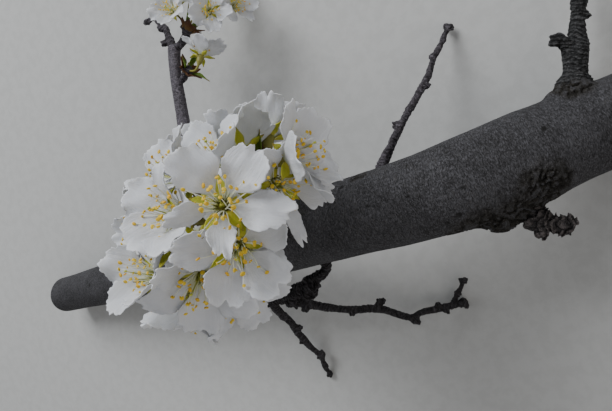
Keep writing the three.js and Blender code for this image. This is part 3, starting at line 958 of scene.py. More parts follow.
@dataclass
class StamenTuft:
    """The stamens and the pistil of one bloom.

    Fields:
        bloom: The bloom.
        count_low, count_high: How many stamens it has.
        length_low, length_high: How long they are, in millimetres.
        ring: The radius of the ring that they stand on.
        thread: The radius of a filament at its foot.
        anther: The breadths and the length of an anther.
    """

    bloom: Bloom
    count_low: int = 31
    count_high: int = 38
    length_low: float = 4.6
    length_high: float = 9.4
    ring: float = 1.7
    thread: float = 0.16
    anther: Triple = (0.92, 0.8, 1.15)

    # Two stamens of three stand close to the axis and the third leans out, in degrees.
    CLOSE = (3, 24)
    LEANING = (26, 50)
    FOOT_DEPTH = 0.8
    BOW = 0.16
    STYLE_DEPTH = 1.6
    STYLE_LEAN = 0.12
    STYLE_BOW = 0.1
    STYLE_RADIUS = 0.2
    STIGMA = (1, 1, 0.7)
    OVARY = (1.5, 1.8, 2.6)
    OVARY_DEPTH = 0.6
    TAPER = 0.6

    def build(self, threads: Joined, anthers: Joined, pistils: Joined, patterns: Patterns) -> None:
        """Adds the bloom's stamens and pistil to the joined meshes.

        Args:
            threads: Where the filaments go.
            anthers: Where the anthers go.
            pistils: Where the pistil goes.
            patterns: The shapes to copy.
        """
        source = random.Random(Seed.STAMENS + self.bloom.order)
        count = source.randint(self.count_low, self.count_high)
        for index in range(count):
            turn = math.tau * (index + source.uniform(-0.4, 0.4)) / count
            lean = math.radians(source.uniform(*(self.CLOSE if index % 3 else self.LEANING)))
            length = source.uniform(self.length_low, self.length_high)
            foot = Vector((math.cos(turn), math.sin(turn), 0)) * self.ring * source.uniform(0.55, 1)
            foot.z = -self.FOOT_DEPTH
            way = Vector((math.sin(lean) * math.cos(turn), math.sin(lean) * math.sin(turn), math.cos(lean)))
            bow = Vector((source.uniform(-1, 1), source.uniform(-1, 1), source.uniform(-0.4, 0.6))) * self.BOW
            tone = source.random()
            threads.add(patterns.thread, self.thread_mover(foot, way, bow, length, self.thread), tone)
            tip = foot + (way + bow) * length
            heading = (way + bow * 2).normalized().to_track_quat("Z", "Y")
            size = Vector(self.anther) * source.uniform(0.7, 1.2)
            spin = Quaternion((0, 0, 1), source.uniform(0, math.tau))
            rock = Quaternion((1, 0, 0), source.uniform(0.3, 1.4))
            matrix = self.bloom.home @ Matrix.LocRotScale(tip, heading @ spin @ rock, size)
            anthers.add(patterns.bead, lambda spot, matrix=matrix: matrix @ spot, tone)
        lean, bend = self.STYLE_LEAN, self.STYLE_BOW
        way = Vector((source.uniform(-lean, lean), source.uniform(-lean, lean), 1)).normalized()
        style = self.length_high * source.uniform(0.92, 1.1)
        foot = Vector((0, 0, -self.STYLE_DEPTH))
        bow = Vector((source.uniform(-bend, bend), source.uniform(-bend, bend), 0))
        pistils.add(patterns.thread, self.thread_mover(foot, way, bow, style, self.STYLE_RADIUS), 0.5)
        for middle, size, tone in (
            (foot + (way + bow) * style, self.STIGMA, 0.8),
            (Vector((0, 0, -self.OVARY_DEPTH)), self.OVARY, 0.2),
        ):
            matrix = self.bloom.home @ Matrix.LocRotScale(middle, None, Vector(size))
            pistils.add(patterns.bead, lambda spot, matrix=matrix: matrix @ spot, tone)

    def thread_mover(self, foot: Vector, way: Vector, bow: Vector, length: float, radius: float) -> Mover:
        """A rule that lays a tube from a foot along a bowed line.

        Args:
            foot: Where it starts.
            way: The direction in which it leaves.
            bow: How far the line has left that direction at its end, as a share of its length.
            length: Its length.
            radius: Its radius at the foot.

        Returns:
            The rule.
        """
        side = way.orthogonal().normalized()
        over = way.cross(side)

        def mover(spot: Vector) -> Vector:
            """The place of a place on the tube."""
            run = spot.z + 0.5
            point = foot + way * (length * run) + bow * (length * run * run)
            width = radius * mix(1, self.TAPER, run)
            return self.bloom.home @ (point + (side * spot.x + over * spot.y) * width)

        return mover


@dataclass
class Patterns:
    """The small meshes that are copied many times."""

    petal: bpy.types.Mesh
    petal_test: bpy.types.Mesh
    leaf: bpy.types.Mesh
    thread: bpy.types.Mesh
    bead: bpy.types.Mesh

    @classmethod
    def make(cls) -> Patterns:
        """Makes each pattern once."""
        return cls(
            petal=grid_pattern(28, 34),
            petal_test=grid_pattern(6, 8),
            leaf=grid_pattern(8, 12),
            thread=pattern_mesh(tube_pattern(5, 5)),
            bead=bead_pattern(8, 6),
        )

    def free(self) -> None:
        """Removes the patterns, once they have been copied."""
        for pattern in (self.petal, self.petal_test, self.leaf, self.thread, self.bead):
            bpy.data.meshes.remove(pattern)


class Blossom:
    """All the blooms, joined kind by kind."""

    # What a petal may do to keep clear of the ones before it: a lift and a roll in degrees.
    CHOICES = (
        (0, 14), (0, -14), (-9, 14), (9, 14), (-16, 20), (16, 12), (-24, 16), (24, 20), (-9, -16), (9, -16),
    )
    LIFT_COST = 0.06
    WOOD_COST = 2
    NEAR = 1.3
    PETAL_TONE_DRAW = 80
    CUP_TONE_DRAW = 3
    CUP_SIDES = 14
    CUP_RINGS = 22
    CUP_CROWDING = 0.8
    CUP_WALL = 0.14
    CUP_DEPTH = 0.8
    PETAL_THICKNESS = 0.2
    SEPAL_THICKNESS = 0.28
    SCALES_PER_TIP = 9
    SCALE_TURN = 0.382
    LEAVES_PER_TIP = 3
    TIP_DEPTH = 0.6

    def __init__(self, blooms: Sequence[Bloom], wood: Sequence[WoodPiece]) -> None:
        """Keeps the blooms and finds what they have to stay clear of.

        Args:
            blooms: The blooms, in the order in which they are built.
            wood: The wood that they hang on.
        """
        self.blooms = blooms
        self.patterns = Patterns.make()
        self.barriers = [self._barrier(piece) for piece in wood]
        self.placed: list[tuple[Vector, BVHTree]] = []

    @staticmethod
    def _barrier(piece: WoodPiece) -> BVHTree:
        """A tree of a piece of wood's own faces, without knobs or bark."""
        shape = piece.core(None)
        tree = BVHTree.FromBMesh(shape)
        shape.free()
        return tree

    def _crossings(self, blade: Blade) -> tuple[int, BVHTree, Vector]:
        """How many faces of a petal run into the wood or into earlier petals.

        Args:
            blade: The petal.

        Returns:
            The count, the petal's own tree, and its middle.
        """
        tree = blade.tree(self.patterns.petal_test)
        middle = blade.mover(Vector((0, 0, 0)))
        reach = blade.length * self.NEAR
        count = sum(len(tree.overlap(other)) for spot, other in self.placed if (spot - middle).length < reach)
        count += sum(self.WOOD_COST * len(tree.overlap(barrier)) for barrier in self.barriers)
        return count, tree, middle

    def petals(self, bloom: Bloom, into: Joined) -> None:
        """Adds a bloom's petals, each set so that it runs into as little as it can.

        Args:
            bloom: The bloom.
            into: The joined mesh of its cluster.
        """
        for index in range(Bloom.PETALS):
            best = None
            for lift, roll in self.CHOICES:
                blade = bloom.petal(index, lift, roll)
                count, tree, middle = self._crossings(blade)
                cost = count + abs(lift) * self.LIFT_COST
                if best is None or cost < best[0]:
                    best = (cost, blade, tree, middle)
            _, blade, tree, middle = best
            self.placed.append((middle, tree))
            into.add(self.patterns.petal, blade.mover, chance(bloom.order, index + self.PETAL_TONE_DRAW))

    def cup(self, bloom: Bloom, into: Joined) -> None:
        """Adds a bloom's stalk and its hollow cup.

        Args:
            bloom: The bloom.
            into: The joined mesh of all cups.
        """
        line, radii = bloom.stalk()
        distances, widths = zip(*radii)
        shape = tube_pattern(self.CUP_SIDES, self.CUP_RINGS)
        lid = max(shape.faces, key=lambda face: face.calc_center_median().z)
        bmesh.ops.inset_region(shape, faces=[lid], thickness=self.CUP_WALL)
        shape.faces.ensure_lookup_table()
        floor = max(shape.faces, key=lambda face: (face.calc_center_median().z, len(face.verts)))
        sunk = set(floor.verts)
        for vertex in shape.verts:
            run = (vertex.co.z + 0.5) ** self.CUP_CROWDING * line.length
            point, _, side, over = line.at(run - (self.CUP_DEPTH * bloom.scale if vertex in sunk else 0))
            width = float(np.interp(run, distances, widths))
            vertex.co = point + (side * vertex.co.x + over * vertex.co.y) * width
        mesh = bpy.data.meshes.new("cup")
        shape.to_mesh(mesh)
        shape.free()
        into.add(mesh, lambda spot: spot, chance(bloom.order, self.CUP_TONE_DRAW))
        bpy.data.meshes.remove(mesh)

    def spur_tip(self, tip: Triple, order: int, scales: Joined, leaves: Joined) -> None:
        """Adds the brown bud scales and small green leaf tips that ring a spur tip.

        Args:
            tip: The spur tip.
            order: Its count among the tips.
            scales: The joined mesh of bud scales.
            leaves: The joined mesh of leaf tips.
        """
        carried = [bloom for bloom in self.blooms if bloom.tip == tip]
        heading = sum((bloom.mouth - place(tip) for bloom in carried), Vector()).normalized()
        turn = Vector((0, 0, 1)).rotation_difference(heading)
        matrix = Matrix.LocRotScale(place(tip) - heading * self.TIP_DEPTH, turn, None)
        source = random.Random(Seed.SPUR_TIPS + order)
        for index in range(self.SCALES_PER_TIP):
            blade = Blade(
                home=matrix, turn=math.tau * index * self.SCALE_TURN, length=source.uniform(3.6, 5.4),
                width=source.uniform(2.2, 3.0), seat=source.uniform(1.7, 2.3),
                first=math.radians(source.uniform(24, 60)), flare=math.radians(source.uniform(0, 46)),
                cup=0.5, claw=0.9, point=0.6, seed=Seed.SCALE_WAVES + order * 20 + index,
            )
            scales.add(self.patterns.leaf, blade.mover, source.random())
        for index in range(self.LEAVES_PER_TIP):
            blade = Blade(
                home=matrix, turn=math.tau * (index + source.random() * 0.6) / self.LEAVES_PER_TIP,
                length=source.uniform(6.5, 10), width=source.uniform(1.8, 2.6), seat=1.2,
                first=math.radians(source.uniform(14, 40)), flare=math.radians(source.uniform(-10, 40)),
                cup=0.9, claw=0.5, point=0.85, seed=Seed.LEAF_WAVES + order * 20 + index,
            )
            leaves.add(self.patterns.leaf, blade.mover, source.random())

    def build(self, looks: Looks) -> None:
        """Makes every piece of the blossom.

        Args:
            looks: The materials.
        """
        clusters: dict[str, Joined] = {}
        members: dict[str, list[str]] = {}
        sepals, cups, threads, anthers, pistils, scales, leaves = (Joined() for _ in range(7))
        for bloom in self.blooms:
            joined = clusters.setdefault(bloom.cluster, Joined())
            members.setdefault(bloom.cluster, []).append(bloom.name)
            self.petals(bloom, joined)
            for sepal in bloom.sepals():
                sepals.add(self.patterns.leaf, sepal.mover, chance(bloom.order, sepal.seed))
            self.cup(bloom, cups)
            StamenTuft(bloom).build(threads, anthers, pistils, self.patterns)
        tips = list(dict.fromkeys(bloom.tip for bloom in self.blooms))
        for order, tip in enumerate(tips):
            self.spur_tip(tip, order, scales, leaves)
        self.patterns.free()
        names = [bloom.name for bloom in self.blooms]
        for cluster, joined in clusters.items():
            finish_piece(
                f"petals_{cluster}", joined.shape, Slot.BLOSSOM, [looks.petal], members[cluster],
                self.PETAL_THICKNESS,
            )
        for name, joined, look, thickness in (
            ("sepals", sepals, looks.sepal, self.SEPAL_THICKNESS),
            ("bud_scales", scales, looks.scale, self.SEPAL_THICKNESS),
            ("leaf_tips", leaves, looks.leaf, self.SEPAL_THICKNESS),
            ("cups", cups, looks.cup, 0.0),
            ("filaments", threads, looks.thread, 0.0),
            ("anthers", anthers, looks.anther, 0.0),
            ("pistils", pistils, looks.cup, 0.0),
        ):
            finish_piece(name, joined.shape, Slot.BLOSSOM, [look], names, thickness)


class NodeHand:
    """Adds nodes to one tree and links them."""

    def __init__(self, tree: bpy.types.NodeTree) -> None:
        """Keeps the tree and empties it."""
        self.tree = tree
        tree.nodes.clear()

    def node(self, kind: str, **settings: object) -> bpy.types.Node:
        """A new node with the given settings, placed right of the last one."""
        made = self.tree.nodes.new(kind)
        made.location = (180 * len(self.tree.nodes), 0)
        for name, value in settings.items():
            setattr(made, name, value)
        return made

    def feed(self, socket: bpy.types.NodeSocket, value: object) -> None:
        """Links an output to a socket, or sets the socket's own value."""
        if isinstance(value, bpy.types.NodeSocket):
            self.tree.links.new(value, socket)
        else:
            socket.default_value = value

    def math(self, operation: str, first: object, second: object = 0.0) -> object:
        """The result of a Math node."""
        made = self.node("ShaderNodeMath", operation=operation)
        self.feed(made.inputs[0], first)
        self.feed(made.inputs[1], second)
        return made.outputs[0]

    def stretch(self, vector: object, factors: object) -> object:
        """A vector with each of its parts multiplied."""
        made = self.node("ShaderNodeVectorMath", operation="MULTIPLY")
        self.feed(made.inputs[0], vector)
        self.feed(made.inputs[1], factors)
        return made.outputs[0]

    def noise(
        self, vector: object, scale: float, detail: float = 4, rough: float = 0.55, bend: float = 0
    ) -> object:
        """The value of a Noise Texture."""
        made = self.node("ShaderNodeTexNoise")
        self.feed(made.inputs["Vector"], vector)
        for name, value in (("Scale", scale), ("Detail", detail), ("Roughness", rough), ("Distortion", bend)):
            self.feed(made.inputs[name], value)
        return made.outputs[0]

    def cells(self, vector: object, scale: float, feature: str = "F1") -> object:
        """The distance of a Voronoi Texture."""
        made = self.node("ShaderNodeTexVoronoi", feature=feature)
        self.feed(made.inputs["Vector"], vector)
        self.feed(made.inputs["Scale"], scale)
        return made.outputs["Distance"]

    def step(self, value: object, low: float, high: float) -> object:
        """A soft step from 0 at low to 1 at high, or from 1 to 0 where low is the higher."""
        made = self.node("ShaderNodeMapRange", interpolation_type="SMOOTHSTEP")
        self.feed(made.inputs["Value"], value)
        rising = low < high
        self.feed(made.inputs["From Min"], min(low, high))
        self.feed(made.inputs["From Max"], max(low, high))
        self.feed(made.inputs["To Min"], 0.0 if rising else 1.0)
        self.feed(made.inputs["To Max"], 1.0 if rising else 0.0)
        return made.outputs["Result"]

    def ramp(self, value: object, low: float, high: float) -> object:
        """A straight climb from low at 0 to high at 1."""
        made = self.node("ShaderNodeMapRange")
        self.feed(made.inputs["Value"], value)
        self.feed(made.inputs["To Min"], low)
        self.feed(made.inputs["To Max"], high)
        return made.outputs["Result"]

    def over(self, base: object, top: object, mask: object, strength: object = None) -> object:
        """A colour with another laid over it.

        Args:
            base: The colour below.
            top: The colour on top.
            mask: Where the top one shows.
            strength: How plainly it shows there, if it doesn't cover the base.

        Returns:
            The mixed colour.
        """
        if strength is not None:
            mask = self.math("MULTIPLY", mask, strength)
        made = self.node("ShaderNodeMix", data_type="RGBA")
        self.feed(made.inputs["Factor"], mask)
        # The node has an A, a B and a result for each kind of data, and these are the colours'.
        self.feed(made.inputs[6], base)
        self.feed(made.inputs[7], top)
        return made.outputs[2]

    def bump(self, height: object, distance: float) -> object:
        """A normal tilted by a height, with the distance in metres."""
        made = self.node("ShaderNodeBump")
        self.feed(made.inputs["Height"], height)
        self.feed(made.inputs["Distance"], distance)
        return made.outputs[0]

    def attribute(self, name: str, output: str) -> object:
        """An output of a named attribute."""
        return self.node("ShaderNodeAttribute", attribute_name=name).outputs[output]

    def group(self, tree: bpy.types.NodeTree, **values: object) -> bpy.types.NodeOutputs:
        """The outputs of a group of nodes, its inputs fed with the given values."""
        made = self.node("ShaderNodeGroup", node_tree=tree)
        for name, value in values.items():
            self.feed(made.inputs[name], value)
        return made.outputs


def colour(red: float, green: float, blue: float) -> Colour:
    """An opaque colour."""
    return red, green, blue, 1.0


class EffectGroups:
    """The effects that more than one finish uses, each built once."""

    def __init__(self) -> None:
        """Builds the groups."""
        self.mottle = self._group("mottle", ["Vector"], ["Broad", "Fine"], self._mottle)
        self.fibres = self._group("fibres", ["Vector", "Shape"], ["Lines", "Breaks", "Creases"], self._fibres)
        self.gaps = self._group("gaps", ["Vector"], ["Gaps"], self._gaps)

    @staticmethod
    def _group(
        name: str, takes: list[str], gives: list[str], fill: Callable[[NodeHand, dict], dict]
    ) -> bpy.types.NodeTree:
        """A shader group.

        Args:
            name: Its name.
            takes: The names of its vector inputs.
            gives: The names of its value outputs.
            fill: Lays the nodes between, from the inputs' sockets to the outputs' sockets.

        Returns:
            The group.
        """
        tree = bpy.data.node_groups.new(name, "ShaderNodeTree")
        for socket in takes:
            tree.interface.new_socket(name=socket, in_out="INPUT", socket_type="NodeSocketVector")
        for socket in gives:
            tree.interface.new_socket(name=socket, in_out="OUTPUT", socket_type="NodeSocketFloat")
        hand = NodeHand(tree)
        start = hand.node("NodeGroupInput")
        made = fill(hand, {socket: start.outputs[socket] for socket in takes})
        stop = hand.node("NodeGroupOutput")
        for socket, value in made.items():
            hand.feed(stop.inputs[socket], value)
        return tree

    @staticmethod
    def _mottle(hand: NodeHand, takes: dict) -> dict:
        """Broad patches and fine speckle, one patch to a unit of the vector."""
        broad = hand.noise(takes["Vector"], scale=1, detail=3, rough=0.5, bend=0.4)
        fine = hand.noise(takes["Vector"], scale=9, detail=5, rough=0.62)
        return {"Broad": hand.step(broad, 0.34, 0.66), "Fine": hand.step(fine, 0.4, 0.62)}

    @staticmethod
    def _fibres(hand: NodeHand, takes: dict) -> dict:
        """Lines, short breaks and thin creases, drawn out as the shape says."""
        vector = hand.stretch(takes["Vector"], takes["Shape"])
        wave = hand.noise(vector, scale=1, detail=4, rough=0.6, bend=0.25)
        breaks = hand.step(hand.cells(vector, 0.8), 0.42, 0.12)
        level = hand.noise(vector, scale=0.6, detail=3, rough=0.5, bend=0.6)
        from_middle = hand.math("ABSOLUTE", hand.math("SUBTRACT", level, 0.5))
        creases = hand.step(from_middle, 0.05, 0.005)
        return {"Lines": hand.step(wave, 0.36, 0.64), "Breaks": breaks, "Creases": creases}

    @staticmethod
    def _gaps(hand: NodeHand, takes: dict) -> dict:
        """Dark crooked gaps between plates of bark about 1.5 units wide."""
        drift = hand.node("ShaderNodeTexNoise")
        hand.feed(drift.inputs["Vector"], takes["Vector"])
        hand.feed(drift.inputs["Scale"], 0.9)
        bent = hand.node("ShaderNodeVectorMath", operation="MULTIPLY_ADD")
        hand.feed(bent.inputs[0], drift.outputs["Color"])
        hand.feed(bent.inputs[1], (1.6, 1.6, 1.6))
        hand.feed(bent.inputs[2], takes["Vector"])
        coarse = hand.step(hand.cells(bent.outputs[0], 0.65, "DISTANCE_TO_EDGE"), 0.16, 0.03)
        fine = hand.step(hand.cells(bent.outputs[0], 1.5, "DISTANCE_TO_EDGE"), 0.2, 0.04)
        return {"Gaps": hand.math("MAXIMUM", coarse, hand.math("MULTIPLY", fine, 0.55))}


def new_material(name: str) -> tuple[bpy.types.Material, NodeHand, bpy.types.Node]:
    """An empty material with its shader linked to its output.

    Args:
        name: The material's name.

    Returns:
        The material, a hand for its tree, and its shader.
    """
    material = bpy.data.materials.new(name)
    material.use_nodes = True
    hand = NodeHand(material.node_tree)
    shader = hand.node("ShaderNodeBsdfPrincipled")
    output = hand.node("ShaderNodeOutputMaterial")
    hand.feed(output.inputs["Surface"], shader.outputs[0])
    return material, hand, shader


@dataclass(frozen=True)
class BarkFinish:
    """Bark with fine wrinkles round the girth, pale pores and dark torn places.

    Fields:
        name: The material's name, which is also the kind of bark.
        dark, middle, pale: The bark's own colours; pale is also painted on the shape's crests as highlight.
        crust: The colour of torn bark.
        torn: The colour of creases, gaps and scars, and of the painted shade in the shape's crevices.
        pore: The colour of the pores.
        wrinkle: The breadth of a wrinkle and its length round the girth, in millimetres.
        patch: The breadth of the broad patches, in millimetres.
        low, high: The roughness in smooth and rough places.
        depth: The height of the wrinkles, in millimetres.
        pores: How plainly the pores show.
        scars: How plainly a few dark scars show.
        creases: How plainly thin dark creases show.
    """

    name: str
    dark: Colour
    middle: Colour
    pale: Colour
    crust: Colour
    torn: Colour
    pore: Colour
    wrinkle: tuple[float, float]
    patch: float
    low: float
    high: float
    depth: float
    pores: float = 0.4
    scars: float = 0.0
    creases: float = 0.5

    def material(self, groups: EffectGroups) -> bpy.types.Material:
        """Builds the material."""
        material, hand, shader = new_material(self.name)
        grain = hand.attribute("grain", "Vector")
        rough = hand.attribute("rough", "Fac")
        ridge = hand.attribute("ridge", "Fac")
        breadth, length = self.wrinkle
        patches = hand.group(groups.mottle, Vector=hand.stretch(grain, (1 / self.patch,) * 3))
        shapes = ((1 / breadth, 1 / length, 1 / length), (0.75 / breadth, 0.5 / length, 0.5 / length))
        lines, pores = (hand.group(groups.fibres, Vector=grain, Shape=shape) for shape in shapes)
        gaps = hand.group(groups.gaps, Vector=grain)
        # Broad patches with pale streaks, thin dark creases and a few pores.
        tone = hand.over(self.dark, self.middle, patches["Broad"])
        tone = hand.over(tone, self.pale, lines["Lines"], hand.ramp(patches["Fine"], 0.25, 0.8))
        tone = hand.over(tone, self.torn, lines["Creases"], self.creases)
        few = hand.math("MULTIPLY", pores["Breaks"], hand.step(patches["Broad"], 0.5, 0.95))
        tone = hand.over(tone, self.pore, few, self.pores)
        # Dark scars, and torn bark with gaps between its plates.
        scars = hand.step(hand.cells(grain, 0.13), 0.14, 0.07)
        tone = hand.over(tone, self.torn, scars, self.scars)
        broken = hand.step(rough, 0.0, 1.0)
        tone = hand.over(tone, self.crust, broken, 0.7)
        torn_gaps = hand.math("MULTIPLY", broken, gaps["Gaps"])
        tone = hand.over(tone, self.torn, torn_gaps, 0.7)
        # Painted shade in the shape's own crevices and painted highlight on its crests.
        tone = hand.over(tone, self.torn, hand.step(ridge, -0.05, -0.9), 0.75)
        tone = hand.over(tone, self.pale, hand.step(ridge, 0.15, 0.6), hand.ramp(patches["Fine"], 0.25, 0.7))
        hand.feed(shader.inputs["Base Color"], tone)
        hand.feed(shader.inputs["Roughness"], hand.ramp(lines["Lines"], self.high, self.low))
        shader.inputs["Specular IOR Level"].default_value = 0.3
        # Wrinkles, pores and crumbs stand out, and gaps and creases are cut in.
        wrinkles = hand.math("ADD", hand.math("MULTIPLY", lines["Lines"], 0.6), few)
        crumbs = hand.math("MULTIPLY", patches["Fine"], hand.math("ADD", rough, 0.25))
        cut = hand.math("MULTIPLY", torn_gaps, -2.5)
        cut = hand.math("ADD", cut, hand.math("MULTIPLY", lines["Creases"], -1.2))
        height = hand.math("ADD", hand.math("ADD", wrinkles, crumbs), cut)
        hand.feed(shader.inputs["Normal"], hand.bump(height, self.depth * MM))
        return material


@dataclass(frozen=True)
class CutWoodFinish:
    """A sawn end: pale weathered wood with rings, a brown heart and a dark rim of bark.

    Fields:
        name: The material's name.
        pale, ring: The wood between its rings, and a ring.
        heart, weathered, rim: The middle, the greyed patches, and the bark round the cut.
        ring_pitch: The distance from ring to ring, in millimetres.
        relief: The height of the rings, in millimetres.
    """

    name: str = "cut_wood"
    pale: Colour = colour(0.46, 0.33, 0.19)
    ring: Colour = colour(0.24, 0.13, 0.06)
    heart: Colour = colour(0.19, 0.085, 0.04)
    weathered: Colour = colour(0.27, 0.235, 0.19)
    rim: Colour = colour(0.035, 0.026, 0.02)
    ring_pitch: float = 1.7
    relief: float = 0.12

    def material(self, groups: EffectGroups) -> bpy.types.Material:
        """Builds the material."""
        material, hand, shader = new_material(self.name)
        grain = hand.attribute("grain", "Vector")
        across = hand.stretch(grain, (0.0, 1.0, 1.0))
        patches = hand.group(groups.mottle, Vector=hand.stretch(across, (0.3, 0.3, 0.3)))
        reach = hand.node("ShaderNodeVectorMath", operation="LENGTH")
        hand.feed(reach.inputs[0], across)
        drift = hand.math("MULTIPLY", hand.noise(across, 0.25, 2), 2.4)
        bent = hand.math("ADD", reach.outputs["Value"], drift)
        turns = hand.math("MULTIPLY", bent, math.tau / self.ring_pitch)
        rings = hand.step(hand.math("SINE", turns), -0.2, 1.0)
        share = hand.math("ADD", hand.attribute("share", "Fac"), hand.math("MULTIPLY", drift, 0.02))
        tone = hand.over(self.pale, self.ring, rings, 0.65)
        tone = hand.over(tone, self.heart, hand.step(share, 0.42, 0.12), 0.8)
        tone = hand.over(tone, self.weathered, patches["Broad"], 0.55)
        tone = hand.over(tone, self.ring, patches["Fine"], 0.25)
        tone = hand.over(tone, self.rim, hand.step(share, 0.86, 0.93))
        hand.feed(shader.inputs["Base Color"], tone)
        hand.feed(shader.inputs["Roughness"], hand.ramp(patches["Fine"], 0.7, 0.85))
        height = hand.math("ADD", rings, patches["Fine"])
        hand.feed(shader.inputs["Normal"], hand.bump(height, self.relief * MM))
        return material


@dataclass(frozen=True)
class BladeFinish:
    """A petal, sepal, scale or leaf: veins along it, a tinted foot and an edge of its own.

    Fields:
        name: The material's name.
        body: The colour of most of the blade.
        other: The colour that it drifts to from blade to blade.
        foot: The colour at its foot.
        edge: The colour at its tip.
        foot_end: The share of its length at which the foot's colour has faded.
        glow: How much light goes through it.
        relief: The height of its veins, in millimetres.
        roughness: The roughness between and on its specks.
        sheen: How downy it is.
        veins: How plainly its veins show.
    """

    name: str
    body: Colour
    other: Colour
    foot: Colour
    edge: Colour
    foot_end: float
    glow: float
    relief: float
    roughness: tuple[float, float] = (0.5, 0.65)
    sheen: float = 0.0
    veins: float = 0.25

    def material(self, groups: EffectGroups) -> bpy.types.Material:
        """Builds the material."""
        material, hand, shader = new_material(self.name)
        span = hand.node("ShaderNodeUVMap", uv_map="span").outputs[0]
        parts = hand.node("ShaderNodeSeparateXYZ")
        hand.feed(parts.inputs[0], span)
        tone = hand.attribute("tone", "Fac")
        along = parts.outputs["Y"]
        veins = hand.group(groups.fibres, Vector=span, Shape=(26.0, 2.2, 1.0))
        spot = hand.node("ShaderNodeTexCoord").outputs["Object"]
        patches = hand.group(groups.mottle, Vector=hand.stretch(spot, (260.0,) * 3))
        base = hand.over(self.body, self.other, patches["Broad"], tone)
        base = hand.over(base, self.other, veins["Lines"], self.veins)
        base = hand.over(base, self.edge, hand.step(along, 0.82, 1.0))
        base = hand.over(base, self.foot, hand.step(along, self.foot_end, 0.0))
        hand.feed(shader.inputs["Base Color"], base)
        hand.feed(shader.inputs["Roughness"], hand.ramp(patches["Fine"], *self.roughness))
        height = hand.math("ADD", veins["Lines"], hand.math("MULTIPLY", patches["Fine"], 0.4))
        hand.feed(shader.inputs["Normal"], hand.bump(height, self.relief * MM))
        shader.inputs["Subsurface Weight"].default_value = self.glow
        shader.inputs["Subsurface Radius"].default_value = (1.0, 0.95, 0.8)
        shader.inputs["Subsurface Scale"].default_value = 0.6 * MM
        shader.inputs["Sheen Weight"].default_value = self.sheen
        shader.inputs["Specular IOR Level"].default_value = 0.3
        return material


@dataclass(frozen=True)
class FloorFinish:
    """A plain pale floor with the faintest grain, and its two close tones."""

    name: str = "floor"
    pale: Colour = colour(0.52, 0.515, 0.5)
    other: Colour = colour(0.49, 0.485, 0.47)

    def material(self, groups: EffectGroups) -> bpy.types.Material:
        """Builds the material."""
        material, hand, shader = new_material(self.name)
        spot = hand.node("ShaderNodeTexCoord").outputs["Object"]
        patches = hand.group(groups.mottle, Vector=hand.stretch(spot, (25.0,) * 3))
        hand.feed(shader.inputs["Base Color"], hand.over(self.pale, self.other, patches["Fine"]))
        hand.feed(shader.inputs["Roughness"], hand.ramp(patches["Fine"], 0.85, 0.92))
        return material


